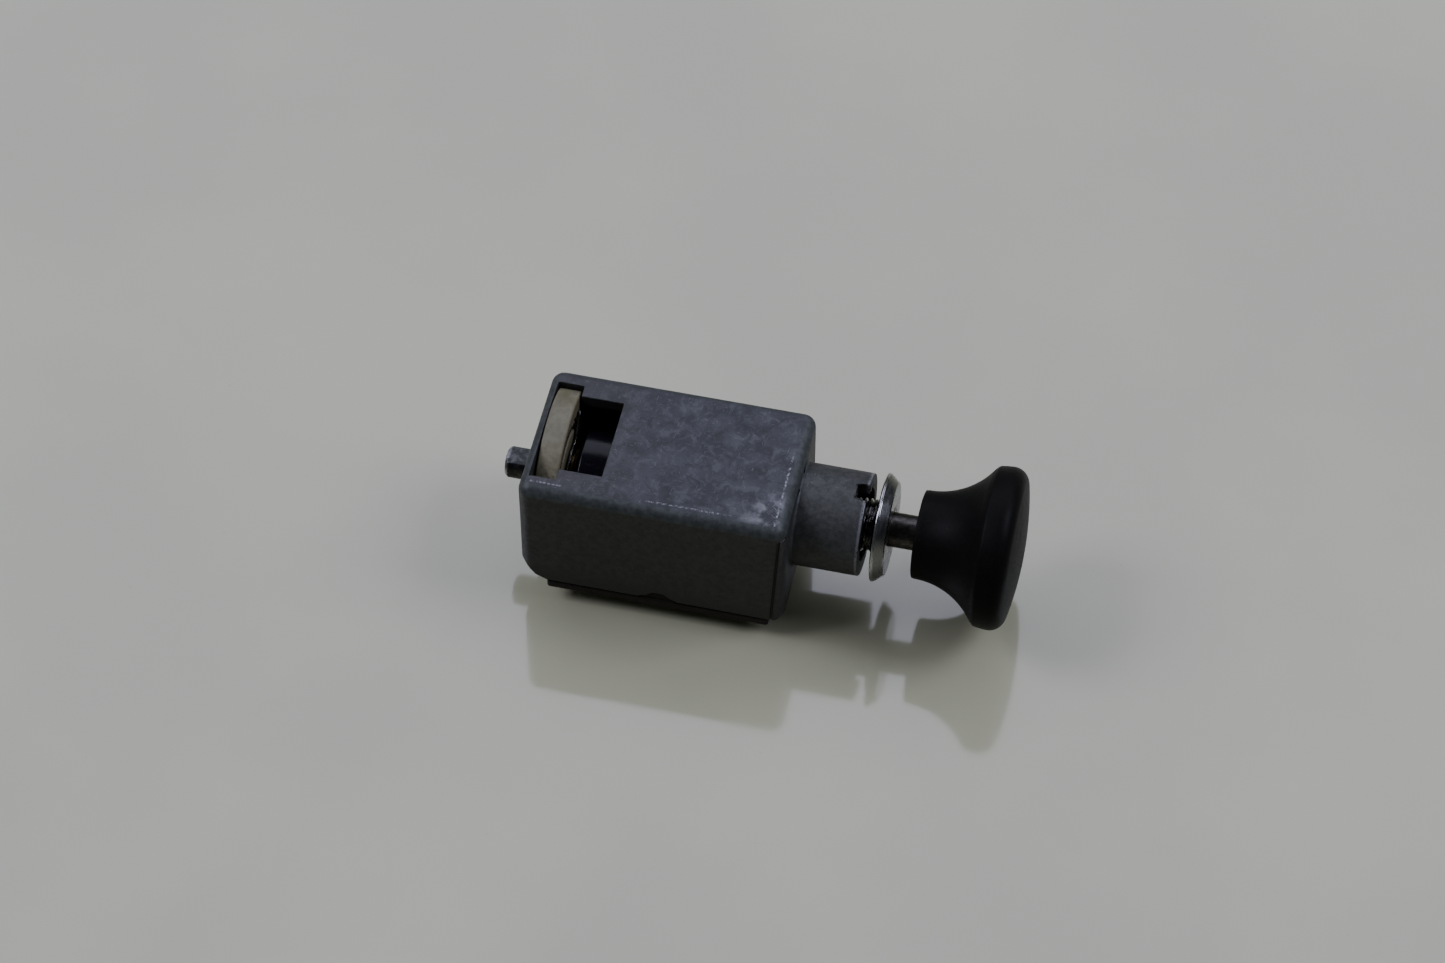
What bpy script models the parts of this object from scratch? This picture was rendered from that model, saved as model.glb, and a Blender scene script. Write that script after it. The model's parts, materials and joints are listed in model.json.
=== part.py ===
"""Pull switch with a turn dimmer, as used on a vehicle's instrument panel.

A die-cast housing holds a phenolic contact carriage on a pull-and-turn shaft, and a wire-wound
rheostat whose wiper turns with the shaft. The terminal base closes the housing from below.

World frame: metres, +Z up, +X out of the panel towards the knob, Z = 0 on the surface that the
switch rests on. Every piece is parented to an empty on the shaft's axis, in the plane of the
housing's front face, so a local x is a station from that face and a local z is a height from
the axis.
"""

import math

import bmesh
import bpy
from mathutils import Matrix

MM = 0.001
GAP = 0.3 * MM
# How far a cutter reaches past the face that it cuts.
PAST = 1.0 * MM

# Where the shaft's axis meets the housing's front face, in the world.
AXIS_Z = 19.83 * MM
FRONT_X = 7.05 * MM

# Housing
HOUSING_REAR = -50.25 * MM
HOUSING_HALF_WIDTH = 14.9 * MM
HOUSING_TOP = 11.95 * MM
HOUSING_RIM = -14.35 * MM
EDGE_ROUND = 2.4 * MM
REAR_WALL = 1.6 * MM
FRONT_WALL = 2.5 * MM
ROOF = 2.65 * MM
CAVITY_HALF_WIDTH = 12.5 * MM
REAR_HOLE_RADIUS = 3.25 * MM
LOWER_FRONT_ROUND = 2.0 * MM
LOWER_REAR_CHAMFER = (2.9 * MM, 1.1 * MM)
LOWER_REAR_RISE = 4.3 * MM

# Window in the roof: a wide slot for the rheostat's body, then a narrower opening
SLOT_FRONT = -43.6 * MM
SLOT_HALF_WIDTH = 11.3 * MM
WINDOW_FRONT = -35.5 * MM
WINDOW_HALF_WIDTH = 8.8 * MM

# Boss and bezel nut
BOSS_RADIUS = 9.64 * MM
BOSS_FRONT = 12.5 * MM
BOSS_BORE = 5.35 * MM
COUNTERBORE = 7.0 * MM
COUNTERBORE_REAR = 8.5 * MM
KEY_NOTCH_WIDTH = 3.6 * MM
KEY_NOTCH_DEPTH = 2.2 * MM
SHANK_REAR = 3.3 * MM
SHANK_RADIUS = 5.05 * MM
SHANK_CHAMFER = 0.5 * MM
FLANGE_REAR = 14.8 * MM
FLANGE_FRONT = 17.2 * MM
FLANGE_RADIUS = 10.23 * MM
FLANGE_FRONT_RADIUS = 8.9 * MM
FLANGE_EDGE = 0.25 * MM
FLANGE_RIM = 0.5 * MM
BUSH_FLANGE_RADIUS = 6.3 * MM
BUSH_FLANGE_THICKNESS = 0.8 * MM
BUSH_FRONT = 3.0 * MM

# Shaft, and everything bored to pass it
ROD_RADIUS = 3.24 * MM
STUB_RADIUS = 2.94 * MM
ROD_BORE = ROD_RADIUS + GAP
SHAFT_REAR = -56.0 * MM
SHAFT_FRONT = 33.8 * MM
STUB_SHOULDER = -41.8 * MM
FLAT_HEIGHT = 2.2 * MM
SHAFT_CHAMFER = 0.6 * MM
CLIP_THICKNESS = 0.8 * MM
CLIP_RADIUS = 5.0 * MM
GROOVE_RADIUS = 2.5 * MM
GROOVE_WIDTH = 1.2 * MM
GROOVE_MARGIN = 0.1 * MM
CLIP_OPENING = 80

# Knob
KNOB_REAR = 22.2 * MM
KNOB_FRONT = 41.9 * MM
KNOB_NECK = 8.3 * MM
KNOB_RADIUS = 15.25 * MM
INSERT_RADIUS = 5.0 * MM
KNOB_FLARE_START = 22.8 * MM
KNOB_FLARE_RADIUS = 14.0 * MM
KNOB_BACK_CORNER = (0.75 * MM, 0.72 * MM)
KNOB_RIM_ROUND = 3.0 * MM
KNOB_RIM_STATION = 37.6 * MM
KNOB_DOME = ((41.2 * MM, 10.4 * MM), (41.7 * MM, 6.1 * MM))
KNOB_BORE_END = 35.0 * MM

# Rheostat
CERAMIC_REAR = -48.35 * MM
CERAMIC_FRONT = -44.0 * MM
CERAMIC_HALF_WIDTH = 11.0 * MM
CERAMIC_ARC_RADIUS = 16.5 * MM
CERAMIC_ARC_CENTRE = (3.0 * MM, -3.8 * MM)
CERAMIC_RECESS_RADIUS = 6.2 * MM
CERAMIC_RECESS_DEPTH = 1.5 * MM
COIL_GROOVE_DEPTH = 2.2 * MM
LEAD_SIDES = (-2.2 * MM, -1.0 * MM)
LEAD_TOP = -9.2 * MM
LEAD_FRONT = -40.8 * MM
LEAD_THICKNESS = 0.35 * MM
COIL_RADIUS = 9.6 * MM
COIL_WIRE_RADIUS = 0.9 * MM
COIL_START = math.radians(60.0)
COIL_END = math.radians(-168.0)
SLEEVE_RADIUS = 4.3 * MM
SLEEVE_FLANGE_RADIUS = 5.6 * MM
SLEEVE_FLANGE_THICKNESS = 0.5 * MM
SLEEVE_FRONT = -42.3 * MM
SLEEVE_FLAT_HALF_WIDTH = 2.4 * MM
PEENED_RADIUS = 5.0 * MM
PEENED_THICKNESS = 0.4 * MM
ARM_HUB_RADIUS = 6.3 * MM
ARM_THICKNESS = 0.4 * MM
FINGER_HALF_ROOT = 1.6 * MM
FINGER_HALF_TIP = 1.0 * MM
WIPER_ANGLE = math.radians(38.0)
WIPER_TIP = 12.1 * MM

# Contact carriage
DRUM_RADIUS = 8.8 * MM
DRUM_REAR = -41.3 * MM
DRUM_FRONT = -18.0 * MM
BLOCK_REAR = -38.0 * MM
BLOCK_BOTTOM = -11.0 * MM
BLOCK_TOP = -5.6 * MM
DRUM_EDGE = 0.4 * MM
CLIP_ROOM = 5.4 * MM
CLIP_RECESS = 1.4 * MM
TRAVEL = 7.0 * MM
DETENT_STATION = -24.0 * MM
BALL_RADIUS = 1.2 * MM
BALL_HOLE_FLOOR = 4.4 * MM
NOTCH_DEPTH = 0.5 * MM
NOTCH_HALF_WIDTH = 3.0 * MM
DETENT_SPRING_RADIUS = 0.95 * MM
DETENT_SPRING_WIRE = 0.15 * MM
BRIDGE_SIDE = 8.0 * MM
BRIDGE_REAR_DIMPLE = -34.0 * MM
BRIDGE_FRONT_DIMPLE = -20.0 * MM
BRIDGE_HALF_WIDTH = 1.8 * MM
BRIDGE_END = 1.1 * MM
BRIDGE_THICKNESS = 0.6 * MM
DIMPLE_RADII = (0.4 * MM, 0.9 * MM)
CHANNEL_DEPTH = 1.1 * MM
CHANNEL_HALF_WIDTH = 2.2 * MM
CHANNEL_ENDS = (2.6 * MM, 1.4 * MM)
SPRING_HOLE_RADIUS = 1.9 * MM
SPRING_HOLE_TOP = -6.9 * MM
BRIDGE_SPRING_RADIUS = 1.3 * MM
BRIDGE_SPRING_WIRE = 0.2 * MM
BRIDGE_SPRING_ENDS = (-9.95 * MM, -7.35 * MM)

# Terminal base
BASE_REAR = -45.2 * MM
BASE_FRONT = -2.9 * MM
PLUG_TOP = -12.8 * MM
FLANGE_TOP = HOUSING_RIM - GAP
BASE_BOTTOM = -16.3 * MM
BASE_HALF_WIDTH = 14.9 * MM
BASE_CORNER = 0.6 * MM
BITE_REAR = -27.4 * MM
BITE_FRONT = -20.5 * MM
BITE_TOP = -12.6 * MM
SCREW_STATIONS = (-38.0 * MM, -25.5 * MM, -12.5 * MM)
SCREW_SIDE = 8.0 * MM
SCREW_RADIUS = 1.75 * MM
SCREW_HEAD_RADIUS = 3.4 * MM
WASHER_THICKNESS = 0.4 * MM
WASHER_RADIUS = 3.7 * MM
SCREW_EDGE = 0.3 * MM
SCREW_SLOT_HALF_WIDTH = 0.5 * MM
SCREW_SLOT_DEPTH = 1.2 * MM
CONTACT_THICKNESS = 0.8 * MM
CONTACT_HALF_WIDTH = 2.0 * MM
# Each contact's rear end and front end: the left bridge closes its pair at the first pull and
# at the second, and the right bridge only at the second.
LEFT_CONTACTS = ((-40.5 * MM, -35.5 * MM), (-31.5 * MM, -23.3 * MM), (-17.5 * MM, -10.3 * MM))
RIGHT_CONTACTS = ((-40.5 * MM, -35.5 * MM), (-28.5 * MM, -23.3 * MM), (-14.8 * MM, -10.3 * MM))

MATERIALS = {
    "zinc_casting": ((0.33, 0.33, 0.34), 0.5, 0.9),
    "polished_chrome": ((0.78, 0.78, 0.79), 0.12, 1.0),
    "blackened_steel": ((0.09, 0.08, 0.07), 0.45, 0.8),
    "spring_steel": ((0.5, 0.5, 0.5), 0.3, 1.0),
    "brass": ((0.72, 0.53, 0.25), 0.35, 1.0),
    "copper": ((0.72, 0.4, 0.25), 0.35, 1.0),
    "resistance_wire": ((0.3, 0.27, 0.24), 0.5, 0.9),
    "ceramic": ((0.72, 0.68, 0.55), 0.6, 0.0),
    "black_phenolic": ((0.012, 0.012, 0.013), 0.25, 0.0),
    "brown_phenolic": ((0.035, 0.022, 0.015), 0.5, 0.0),
    "plated_steel": ((0.6, 0.58, 0.5), 0.4, 1.0),
}


def clear_scene():
    for obj in list(bpy.data.objects):
        bpy.data.objects.remove(obj, do_unlink=True)


def make_materials():
    made = {}
    for name, (colour, roughness, metallic) in MATERIALS.items():
        mat = bpy.data.materials.new(name)
        mat.use_nodes = True
        shader = mat.node_tree.nodes["Principled BSDF"]
        shader.inputs["Base Color"].default_value = (*colour, 1.0)
        shader.inputs["Roughness"].default_value = roughness
        shader.inputs["Metallic"].default_value = metallic
        made[name] = mat
    return made


# Outlines: lists of (a, b) points


def arc(centre, radius, start, end, steps):
    """Points on an arc about centre, from the angle start to end in degrees, both ends included."""
    points = []
    for step in range(steps + 1):
        angle = math.radians(start + (end - start) * step / steps)
        points.append((centre[0] + radius * math.cos(angle), centre[1] + radius * math.sin(angle)))
    return points


def rounded_rectangle(low, high, radius, steps=4):
    """A rectangle between two corners with every corner rounded, anticlockwise."""
    corners = (
        (high[0] - radius, high[1] - radius, 0),
        (low[0] + radius, high[1] - radius, 90),
        (low[0] + radius, low[1] + radius, 180),
        (high[0] - radius, low[1] + radius, 270),
    )
    points = []
    for a, b, start in corners:
        points += arc((a, b), radius, start, start + 90, steps)
    return points


# Meshes


def turned(profile, segments=32):
    """A solid turned about X from (station, radius) points. A ring's profile is a closed loop."""
    bm = bmesh.new()
    rings = []
    for station, radius in profile:
        if radius == 0.0:
            rings.append([bm.verts.new((station, 0.0, 0.0))])
            continue
        ring = []
        for step in range(segments):
            angle = math.tau * step / segments
            ring.append(bm.verts.new((station, radius * math.sin(angle), radius * math.cos(angle))))
        rings.append(ring)
    pairs = list(zip(rings, rings[1:]))
    if profile[0][1] > 0.0:
        pairs.append((rings[-1], rings[0]))
    for first, second in pairs:
        for step in range(segments):
            following = (step + 1) % segments
            corners = [first[step % len(first)], first[following % len(first)]]
            corners += [second[following % len(second)], second[step % len(second)]]
            bm.faces.new(list(dict.fromkeys(corners)))
    return bm


def extruded(outline, low, high, axis):
    """A prism along X, Y or Z between two stations. The outline's points are the other two axes."""
    place = {
        "X": lambda a, b, along: (along, a, b),
        "Y": lambda a, b, along: (a, along, b),
        "Z": lambda a, b, along: (a, b, along),
    }[axis]
    bm = bmesh.new()
    face = bm.faces.new([bm.verts.new(place(a, b, low)) for a, b in outline])
    shift = place(0.0, 0.0, high - low)
    raised = bmesh.ops.extrude_face_region(bm, geom=[face], use_keep_orig=True)
    moved = [item for item in raised["geom"] if isinstance(item, bmesh.types.BMVert)]
    bmesh.ops.translate(bm, verts=moved, vec=shift)
    return bm


def block(low, high):
    """A box between two corners."""
    bm = bmesh.new()
    size = [high[i] - low[i] for i in range(3)]
    middle = [(high[i] + low[i]) / 2 for i in range(3)]
    matrix = Matrix.Translation(middle) @ Matrix.Diagonal((*size, 1.0))
    bmesh.ops.create_cube(bm, size=1.0, matrix=matrix)
    return bm


def upright(profile, centre, segments=16):
    """A solid turned about a vertical axis at centre, from (height, radius) points."""
    bm = turned(profile, segments)
    turn = Matrix.Rotation(math.radians(-90), 4, "Y")
    bmesh.ops.transform(bm, matrix=Matrix.Translation((centre[0], centre[1], 0.0)) @ turn, verts=bm.verts)
    return bm


def tube(path, radius, sides=6):
    """A round wire of the given radius along a list of points, from a curve with filled caps."""
    curve = bpy.data.curves.new("wire", "CURVE")
    curve.dimensions = "3D"
    curve.bevel_depth = radius
    curve.bevel_resolution = (sides - 4) // 2
    curve.use_fill_caps = True
    spline = curve.splines.new("POLY")
    spline.points.add(len(path) - 1)
    for point, place in zip(spline.points, path):
        point.co = (*place, 1.0)
    return curve


class Builder:
    """Makes the named objects, all of them parented to one empty on the shaft's axis."""

    def __init__(self):
        self.materials = make_materials()
        self.axis = bpy.data.objects.new("shaft_axis", None)
        self.axis.location = (FRONT_X, 0.0, AXIS_Z)
        bpy.context.collection.objects.link(self.axis)

    def piece(self, name, shape, material):
        """An object from a bmesh, a mesh or a curve."""
        data = shape
        if isinstance(shape, bmesh.types.BMesh):
            bmesh.ops.recalc_face_normals(shape, faces=shape.faces)
            data = bpy.data.meshes.new(name)
            shape.to_mesh(data)
            shape.free()
            data.shade_smooth()
            data.set_sharp_from_angle(angle=math.radians(35))
        if not data.materials:
            data.materials.append(self.materials[material])
        obj = bpy.data.objects.new(name, data)
        obj.parent = self.axis
        bpy.context.collection.objects.link(obj)
        return obj

    def combine(self, target, shape, operation):
        """Adds a Boolean of the target with a hidden tool shape."""
        tool = self.piece(f"{target.name}_tool", shape, "plated_steel")
        tool.hide_render = True
        tool.display_type = "WIRE"
        modifier = target.modifiers.new(operation.lower(), "BOOLEAN")
        modifier.operation = operation
        modifier.solver = "EXACT"
        modifier.object = tool
        return tool

    def cut(self, target, *shapes):
        for shape in shapes:
            self.combine(target, shape, "DIFFERENCE")

    def join(self, target, *shapes):
        for shape in shapes:
            self.combine(target, shape, "UNION")

    def finished_mesh(self, obj):
        """The object's mesh with its modifiers applied, so that copies can share it."""
        bpy.context.view_layer.update()
        evaluated = obj.evaluated_get(bpy.context.evaluated_depsgraph_get())
        return bpy.data.meshes.new_from_object(evaluated)


# Housing, bush and bezel nut


def housing_block():
    """The outer block, with every upright edge and every upper edge round."""
    low = (HOUSING_REAR, -HOUSING_HALF_WIDTH, HOUSING_RIM)
    bm = block(low, (0.0, HOUSING_HALF_WIDTH, HOUSING_TOP))
    round_edges = [edge for edge in bm.edges if edge.verts[0].co.z + edge.verts[1].co.z > HOUSING_RIM]
    bmesh.ops.bevel(bm, geom=round_edges, offset=EDGE_ROUND, segments=4, profile=0.5, affect="EDGES")
    return bm


def lower_corner_cutters(half_width):
    """Takes the chamfer off the lower rear corner and rounds the lower front one."""
    step, rise = LOWER_REAR_CHAMFER
    rear = [
        (HOUSING_REAR - PAST, HOUSING_RIM - PAST),
        (BASE_REAR + PAST, HOUSING_RIM - PAST),
        (BASE_REAR, HOUSING_RIM),
        (HOUSING_REAR + step, HOUSING_RIM + rise),
        (HOUSING_REAR, HOUSING_RIM + LOWER_REAR_RISE),
        (HOUSING_REAR - PAST, HOUSING_RIM + LOWER_REAR_RISE + PAST),
    ]
    radius = LOWER_FRONT_ROUND
    front = arc((-radius, HOUSING_RIM + radius), radius, 270, 360, 3)
    front += [(PAST, HOUSING_RIM + radius), (PAST, HOUSING_RIM - PAST), (-radius, HOUSING_RIM - PAST)]
    return [extruded(outline, -half_width, half_width, "Y") for outline in (rear, front)]


def make_housing(build):
    side = HOUSING_HALF_WIDTH + PAST
    housing = build.piece("housing", housing_block(), "zinc_casting")
    build.cut(housing, *lower_corner_cutters(side))

    root = -FRONT_WALL / 2
    boss = [(root, 0.0), (root, BOSS_RADIUS), (BOSS_FRONT, BOSS_RADIUS), (BOSS_FRONT, 0.0)]
    build.join(housing, turned(boss))
    cavity_low = (HOUSING_REAR + REAR_WALL, -CAVITY_HALF_WIDTH, HOUSING_RIM - PAST)
    cavity_high = (-FRONT_WALL, CAVITY_HALF_WIDTH, HOUSING_TOP - ROOF)
    bore = [
        (-FRONT_WALL - PAST, 0.0),
        (-FRONT_WALL - PAST, BOSS_BORE),
        (COUNTERBORE_REAR, BOSS_BORE),
        (COUNTERBORE_REAR, COUNTERBORE),
        (BOSS_FRONT + PAST, COUNTERBORE),
        (BOSS_FRONT + PAST, 0.0),
    ]
    rear_hole = [
        (HOUSING_REAR - PAST, 0.0),
        (HOUSING_REAR - PAST, REAR_HOLE_RADIUS),
        (HOUSING_REAR + REAR_WALL + PAST, REAR_HOLE_RADIUS),
        (HOUSING_REAR + REAR_WALL + PAST, 0.0),
    ]
    above = HOUSING_TOP + PAST
    inside = HOUSING_TOP - ROOF - PAST
    slot_low = (HOUSING_REAR + REAR_WALL, -SLOT_HALF_WIDTH, inside)
    window_low = (SLOT_FRONT - PAST, -WINDOW_HALF_WIDTH, inside)
    notch_low = (BOSS_FRONT - KEY_NOTCH_DEPTH, -KEY_NOTCH_WIDTH / 2, COUNTERBORE - PAST)
    notch_high = (BOSS_FRONT + PAST, KEY_NOTCH_WIDTH / 2, BOSS_RADIUS + PAST)
    build.cut(
        housing,
        block(cavity_low, cavity_high),
        turned(bore),
        turned(rear_hole, 24),
        block(slot_low, (SLOT_FRONT, SLOT_HALF_WIDTH, above)),
        block(window_low, (WINDOW_FRONT, WINDOW_HALF_WIDTH, above)),
        block(notch_low, notch_high),
        block((BITE_REAR, -side, HOUSING_RIM - PAST), (BITE_FRONT, side, BITE_TOP)),
    )
    for stop in range(3):
        build.cut(housing, detent_notch(DETENT_STATION + stop * TRAVEL / 2))


def detent_notch(station):
    """A shallow trough across the roof's underside, one for each position of the shaft."""
    radius = BALL_RADIUS + GAP
    centre = (station, HOUSING_TOP - ROOF + NOTCH_DEPTH - radius)
    return extruded(arc(centre, radius, 0, 330, 11), -NOTCH_HALF_WIDTH, NOTCH_HALF_WIDTH, "Y")


def make_guide_bush(build):
    rear = -FRONT_WALL - GAP
    flange_rear = rear - BUSH_FLANGE_THICKNESS
    profile = [
        (flange_rear, ROD_BORE),
        (flange_rear, BUSH_FLANGE_RADIUS),
        (rear, BUSH_FLANGE_RADIUS),
        (rear, SHANK_RADIUS),
        (BUSH_FRONT, SHANK_RADIUS),
        (BUSH_FRONT, ROD_BORE),
    ]
    build.piece("guide_bush", turned(profile, 24), "brass")


def make_bezel_nut(build):
    profile = [
        (SHANK_REAR, ROD_BORE),
        (SHANK_REAR, SHANK_RADIUS - SHANK_CHAMFER),
        (SHANK_REAR + SHANK_CHAMFER, SHANK_RADIUS),
        (FLANGE_REAR, SHANK_RADIUS),
        (FLANGE_REAR, FLANGE_RADIUS - FLANGE_EDGE),
        (FLANGE_REAR + FLANGE_EDGE, FLANGE_RADIUS),
        (FLANGE_REAR + FLANGE_RIM, FLANGE_RADIUS),
        (FLANGE_FRONT - FLANGE_EDGE, FLANGE_FRONT_RADIUS + FLANGE_EDGE / 2),
        (FLANGE_FRONT, FLANGE_FRONT_RADIUS - FLANGE_EDGE),
        (FLANGE_FRONT, ROD_BORE),
    ]
    build.piece("bezel_nut", turned(profile, 40), "polished_chrome")


# Shaft and knob


def make_pull_shaft(build):
    chamfer = SHAFT_CHAMFER
    profile = [(SHAFT_REAR, 0.0), (SHAFT_REAR, STUB_RADIUS - chamfer), (SHAFT_REAR + chamfer, STUB_RADIUS)]
    profile += [(STUB_SHOULDER, STUB_RADIUS), (STUB_SHOULDER, ROD_RADIUS)]
    for face in (DRUM_REAR, DRUM_FRONT):
        start = face + GROOVE_MARGIN
        end = start + GROOVE_WIDTH
        profile += [(start, ROD_RADIUS), (start, GROOVE_RADIUS), (end, GROOVE_RADIUS), (end, ROD_RADIUS)]
    profile += [(SHAFT_FRONT - chamfer, ROD_RADIUS), (SHAFT_FRONT, ROD_RADIUS - chamfer), (SHAFT_FRONT, 0.0)]
    shaft = build.piece("pull_shaft", turned(profile, 24), "blackened_steel")
    flat_low = (SHAFT_REAR - PAST, -STUB_RADIUS - PAST, FLAT_HEIGHT)
    flat_high = (STUB_SHOULDER - PAST / 4, STUB_RADIUS + PAST, STUB_RADIUS + PAST)
    build.cut(shaft, block(flat_low, flat_high))


def make_clip(build, name, face):
    """A C-shaped retaining ring in the groove in front of one of the drum's faces, open downwards."""
    start = face + GROOVE_MARGIN + (GROOVE_WIDTH - CLIP_THICKNESS) / 2
    first = CLIP_OPENING / 2 - 90
    last = 270 - CLIP_OPENING / 2
    inner = GROOVE_RADIUS + GAP
    outline = arc((0.0, 0.0), CLIP_RADIUS, first, last, 14) + arc((0.0, 0.0), inner, last, first, 14)
    build.piece(name, extruded(outline, start, start + CLIP_THICKNESS, "X"), "spring_steel")


def knob_outline():
    """Half of the knob's side view, from its rear face round to the axis at the front."""
    flare = arc((KNOB_FLARE_START, KNOB_NECK + KNOB_FLARE_RADIUS), KNOB_FLARE_RADIUS, 270, 325, 7)
    back_corner = [tuple(end + step for end, step in zip(flare[-1], KNOB_BACK_CORNER))]
    rim = arc((KNOB_RIM_STATION, KNOB_RADIUS - KNOB_RIM_ROUND), KNOB_RIM_ROUND, 90, 12, 5)
    rear_edge = (KNOB_REAR, KNOB_NECK - 0.1 * MM)
    return [rear_edge] + flare + back_corner + rim + list(KNOB_DOME) + [(KNOB_FRONT, 0.0)]


def make_knob(build):
    bore = INSERT_RADIUS + GAP
    profile = [(KNOB_BORE_END, 0.0), (KNOB_BORE_END, bore), (KNOB_REAR, bore)] + knob_outline()
    build.piece("knob", turned(profile, 36), "black_phenolic")
    rear = KNOB_REAR + GAP
    front = KNOB_BORE_END - GAP
    sleeve = [(rear, ROD_BORE), (rear, INSERT_RADIUS), (front, INSERT_RADIUS), (front, ROD_BORE)]
    build.piece("knob_insert", turned(sleeve, 24), "brass")


# Rheostat


def ceramic_outline():
    """End view: a flat foot, straight sides and an arched top that stands out of the roof's slot."""
    side, _ = CERAMIC_ARC_CENTRE
    start = math.degrees(math.acos((CERAMIC_HALF_WIDTH - side) / CERAMIC_ARC_RADIUS))
    end = 180 - math.degrees(math.acos((CERAMIC_HALF_WIDTH + side) / CERAMIC_ARC_RADIUS))
    top = arc(CERAMIC_ARC_CENTRE, CERAMIC_ARC_RADIUS, start, end, 14)
    foot = PLUG_TOP + GAP
    return [(-CERAMIC_HALF_WIDTH, foot), (CERAMIC_HALF_WIDTH, foot)] + top


def make_rheostat(build):
    body = extruded(ceramic_outline(), CERAMIC_REAR, CERAMIC_FRONT, "X")
    ceramic = build.piece("rheostat_ceramic", body, "ceramic")
    recess = CERAMIC_REAR + CERAMIC_RECESS_DEPTH
    hole_radius = SLEEVE_RADIUS + GAP
    hole = [
        (CERAMIC_REAR - PAST, 0.0),
        (CERAMIC_REAR - PAST, CERAMIC_RECESS_RADIUS),
        (recess, CERAMIC_RECESS_RADIUS),
        (recess, hole_radius),
        (CERAMIC_FRONT + PAST, hole_radius),
        (CERAMIC_FRONT + PAST, 0.0),
    ]
    groove_rear = CERAMIC_FRONT - COIL_GROOVE_DEPTH
    room = COIL_WIRE_RADIUS + GAP
    groove = [
        (groove_rear, COIL_RADIUS - room),
        (groove_rear, COIL_RADIUS + room),
        (CERAMIC_FRONT + PAST, COIL_RADIUS + room),
        (CERAMIC_FRONT + PAST, COIL_RADIUS - room),
    ]
    build.cut(ceramic, turned(hole), turned(groove, 40))

    station = CERAMIC_FRONT - COIL_WIRE_RADIUS - 0.1 * MM
    steps = 24
    path = []
    for step in range(steps + 1):
        angle = COIL_START + (COIL_END - COIL_START) * step / steps
        path.append((station, COIL_RADIUS * math.sin(angle), COIL_RADIUS * math.cos(angle)))
    build.piece("resistance_coil", tube(path, COIL_WIRE_RADIUS, 8), "resistance_wire")

    outer, inner = LEAD_SIDES
    foot = PLUG_TOP + LEAD_THICKNESS
    rear = CERAMIC_FRONT + GAP
    tab = block((rear, outer, foot), (rear + GAP, inner, LEAD_TOP))
    lead = build.piece("rheostat_lead", tab, "copper")
    strip = block((rear, -BRIDGE_SIDE - PAST, foot), (LEAD_FRONT, inner, foot + LEAD_THICKNESS))
    build.join(lead, strip)


def make_wiper(build):
    rear = CERAMIC_REAR + 0.1 * MM
    peened = rear + PEENED_THICKNESS
    flange_rear = SLEEVE_FRONT - SLEEVE_FLANGE_THICKNESS
    inner = STUB_RADIUS + GAP
    profile = [
        (rear, inner),
        (rear, PEENED_RADIUS),
        (peened, PEENED_RADIUS),
        (peened, SLEEVE_RADIUS),
        (flange_rear, SLEEVE_RADIUS),
        (flange_rear, SLEEVE_FLANGE_RADIUS),
        (SLEEVE_FRONT, SLEEVE_FLANGE_RADIUS),
        (SLEEVE_FRONT, inner),
    ]
    sleeve = build.piece("wiper_sleeve", turned(profile, 24), "brass")
    flat_low = (rear, -SLEEVE_FLAT_HALF_WIDTH, FLAT_HEIGHT + GAP)
    flat_high = (SLEEVE_FRONT, SLEEVE_FLAT_HALF_WIDTH, inner + 0.2 * MM)
    build.join(sleeve, block(flat_low, flat_high))

    arm_rear = CERAMIC_FRONT + GAP
    arm_front = arm_rear + ARM_THICKNESS
    hub_inner = SLEEVE_RADIUS + GAP
    hub = [
        (arm_rear, hub_inner),
        (arm_rear, ARM_HUB_RADIUS),
        (arm_front, ARM_HUB_RADIUS),
        (arm_front, hub_inner),
    ]
    arm = build.piece("wiper_arm", turned(hub, 24), "spring_steel")
    root = SLEEVE_FLANGE_RADIUS
    finger = [(-FINGER_HALF_ROOT, root), (FINGER_HALF_ROOT, root)]
    finger += arc((0.0, WIPER_TIP - FINGER_HALF_TIP), FINGER_HALF_TIP, 0, 180, 5)
    finger_mesh = extruded(finger, arm_rear, arm_front, "X")
    bmesh.ops.rotate(finger_mesh, matrix=Matrix.Rotation(-WIPER_ANGLE, 3, "X"), verts=finger_mesh.verts)
    build.join(arm, finger_mesh)

    washer_rear = peened + GAP
    washer_front = washer_rear + WASHER_THICKNESS
    washer_radius = SLEEVE_FLANGE_RADIUS + GAP
    washer = [
        (washer_rear, hub_inner),
        (washer_rear, washer_radius),
        (washer_front, washer_radius),
        (washer_front, hub_inner),
    ]
    build.piece("wave_washer", turned(washer, 24), "spring_steel")


# Contact carriage


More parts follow.
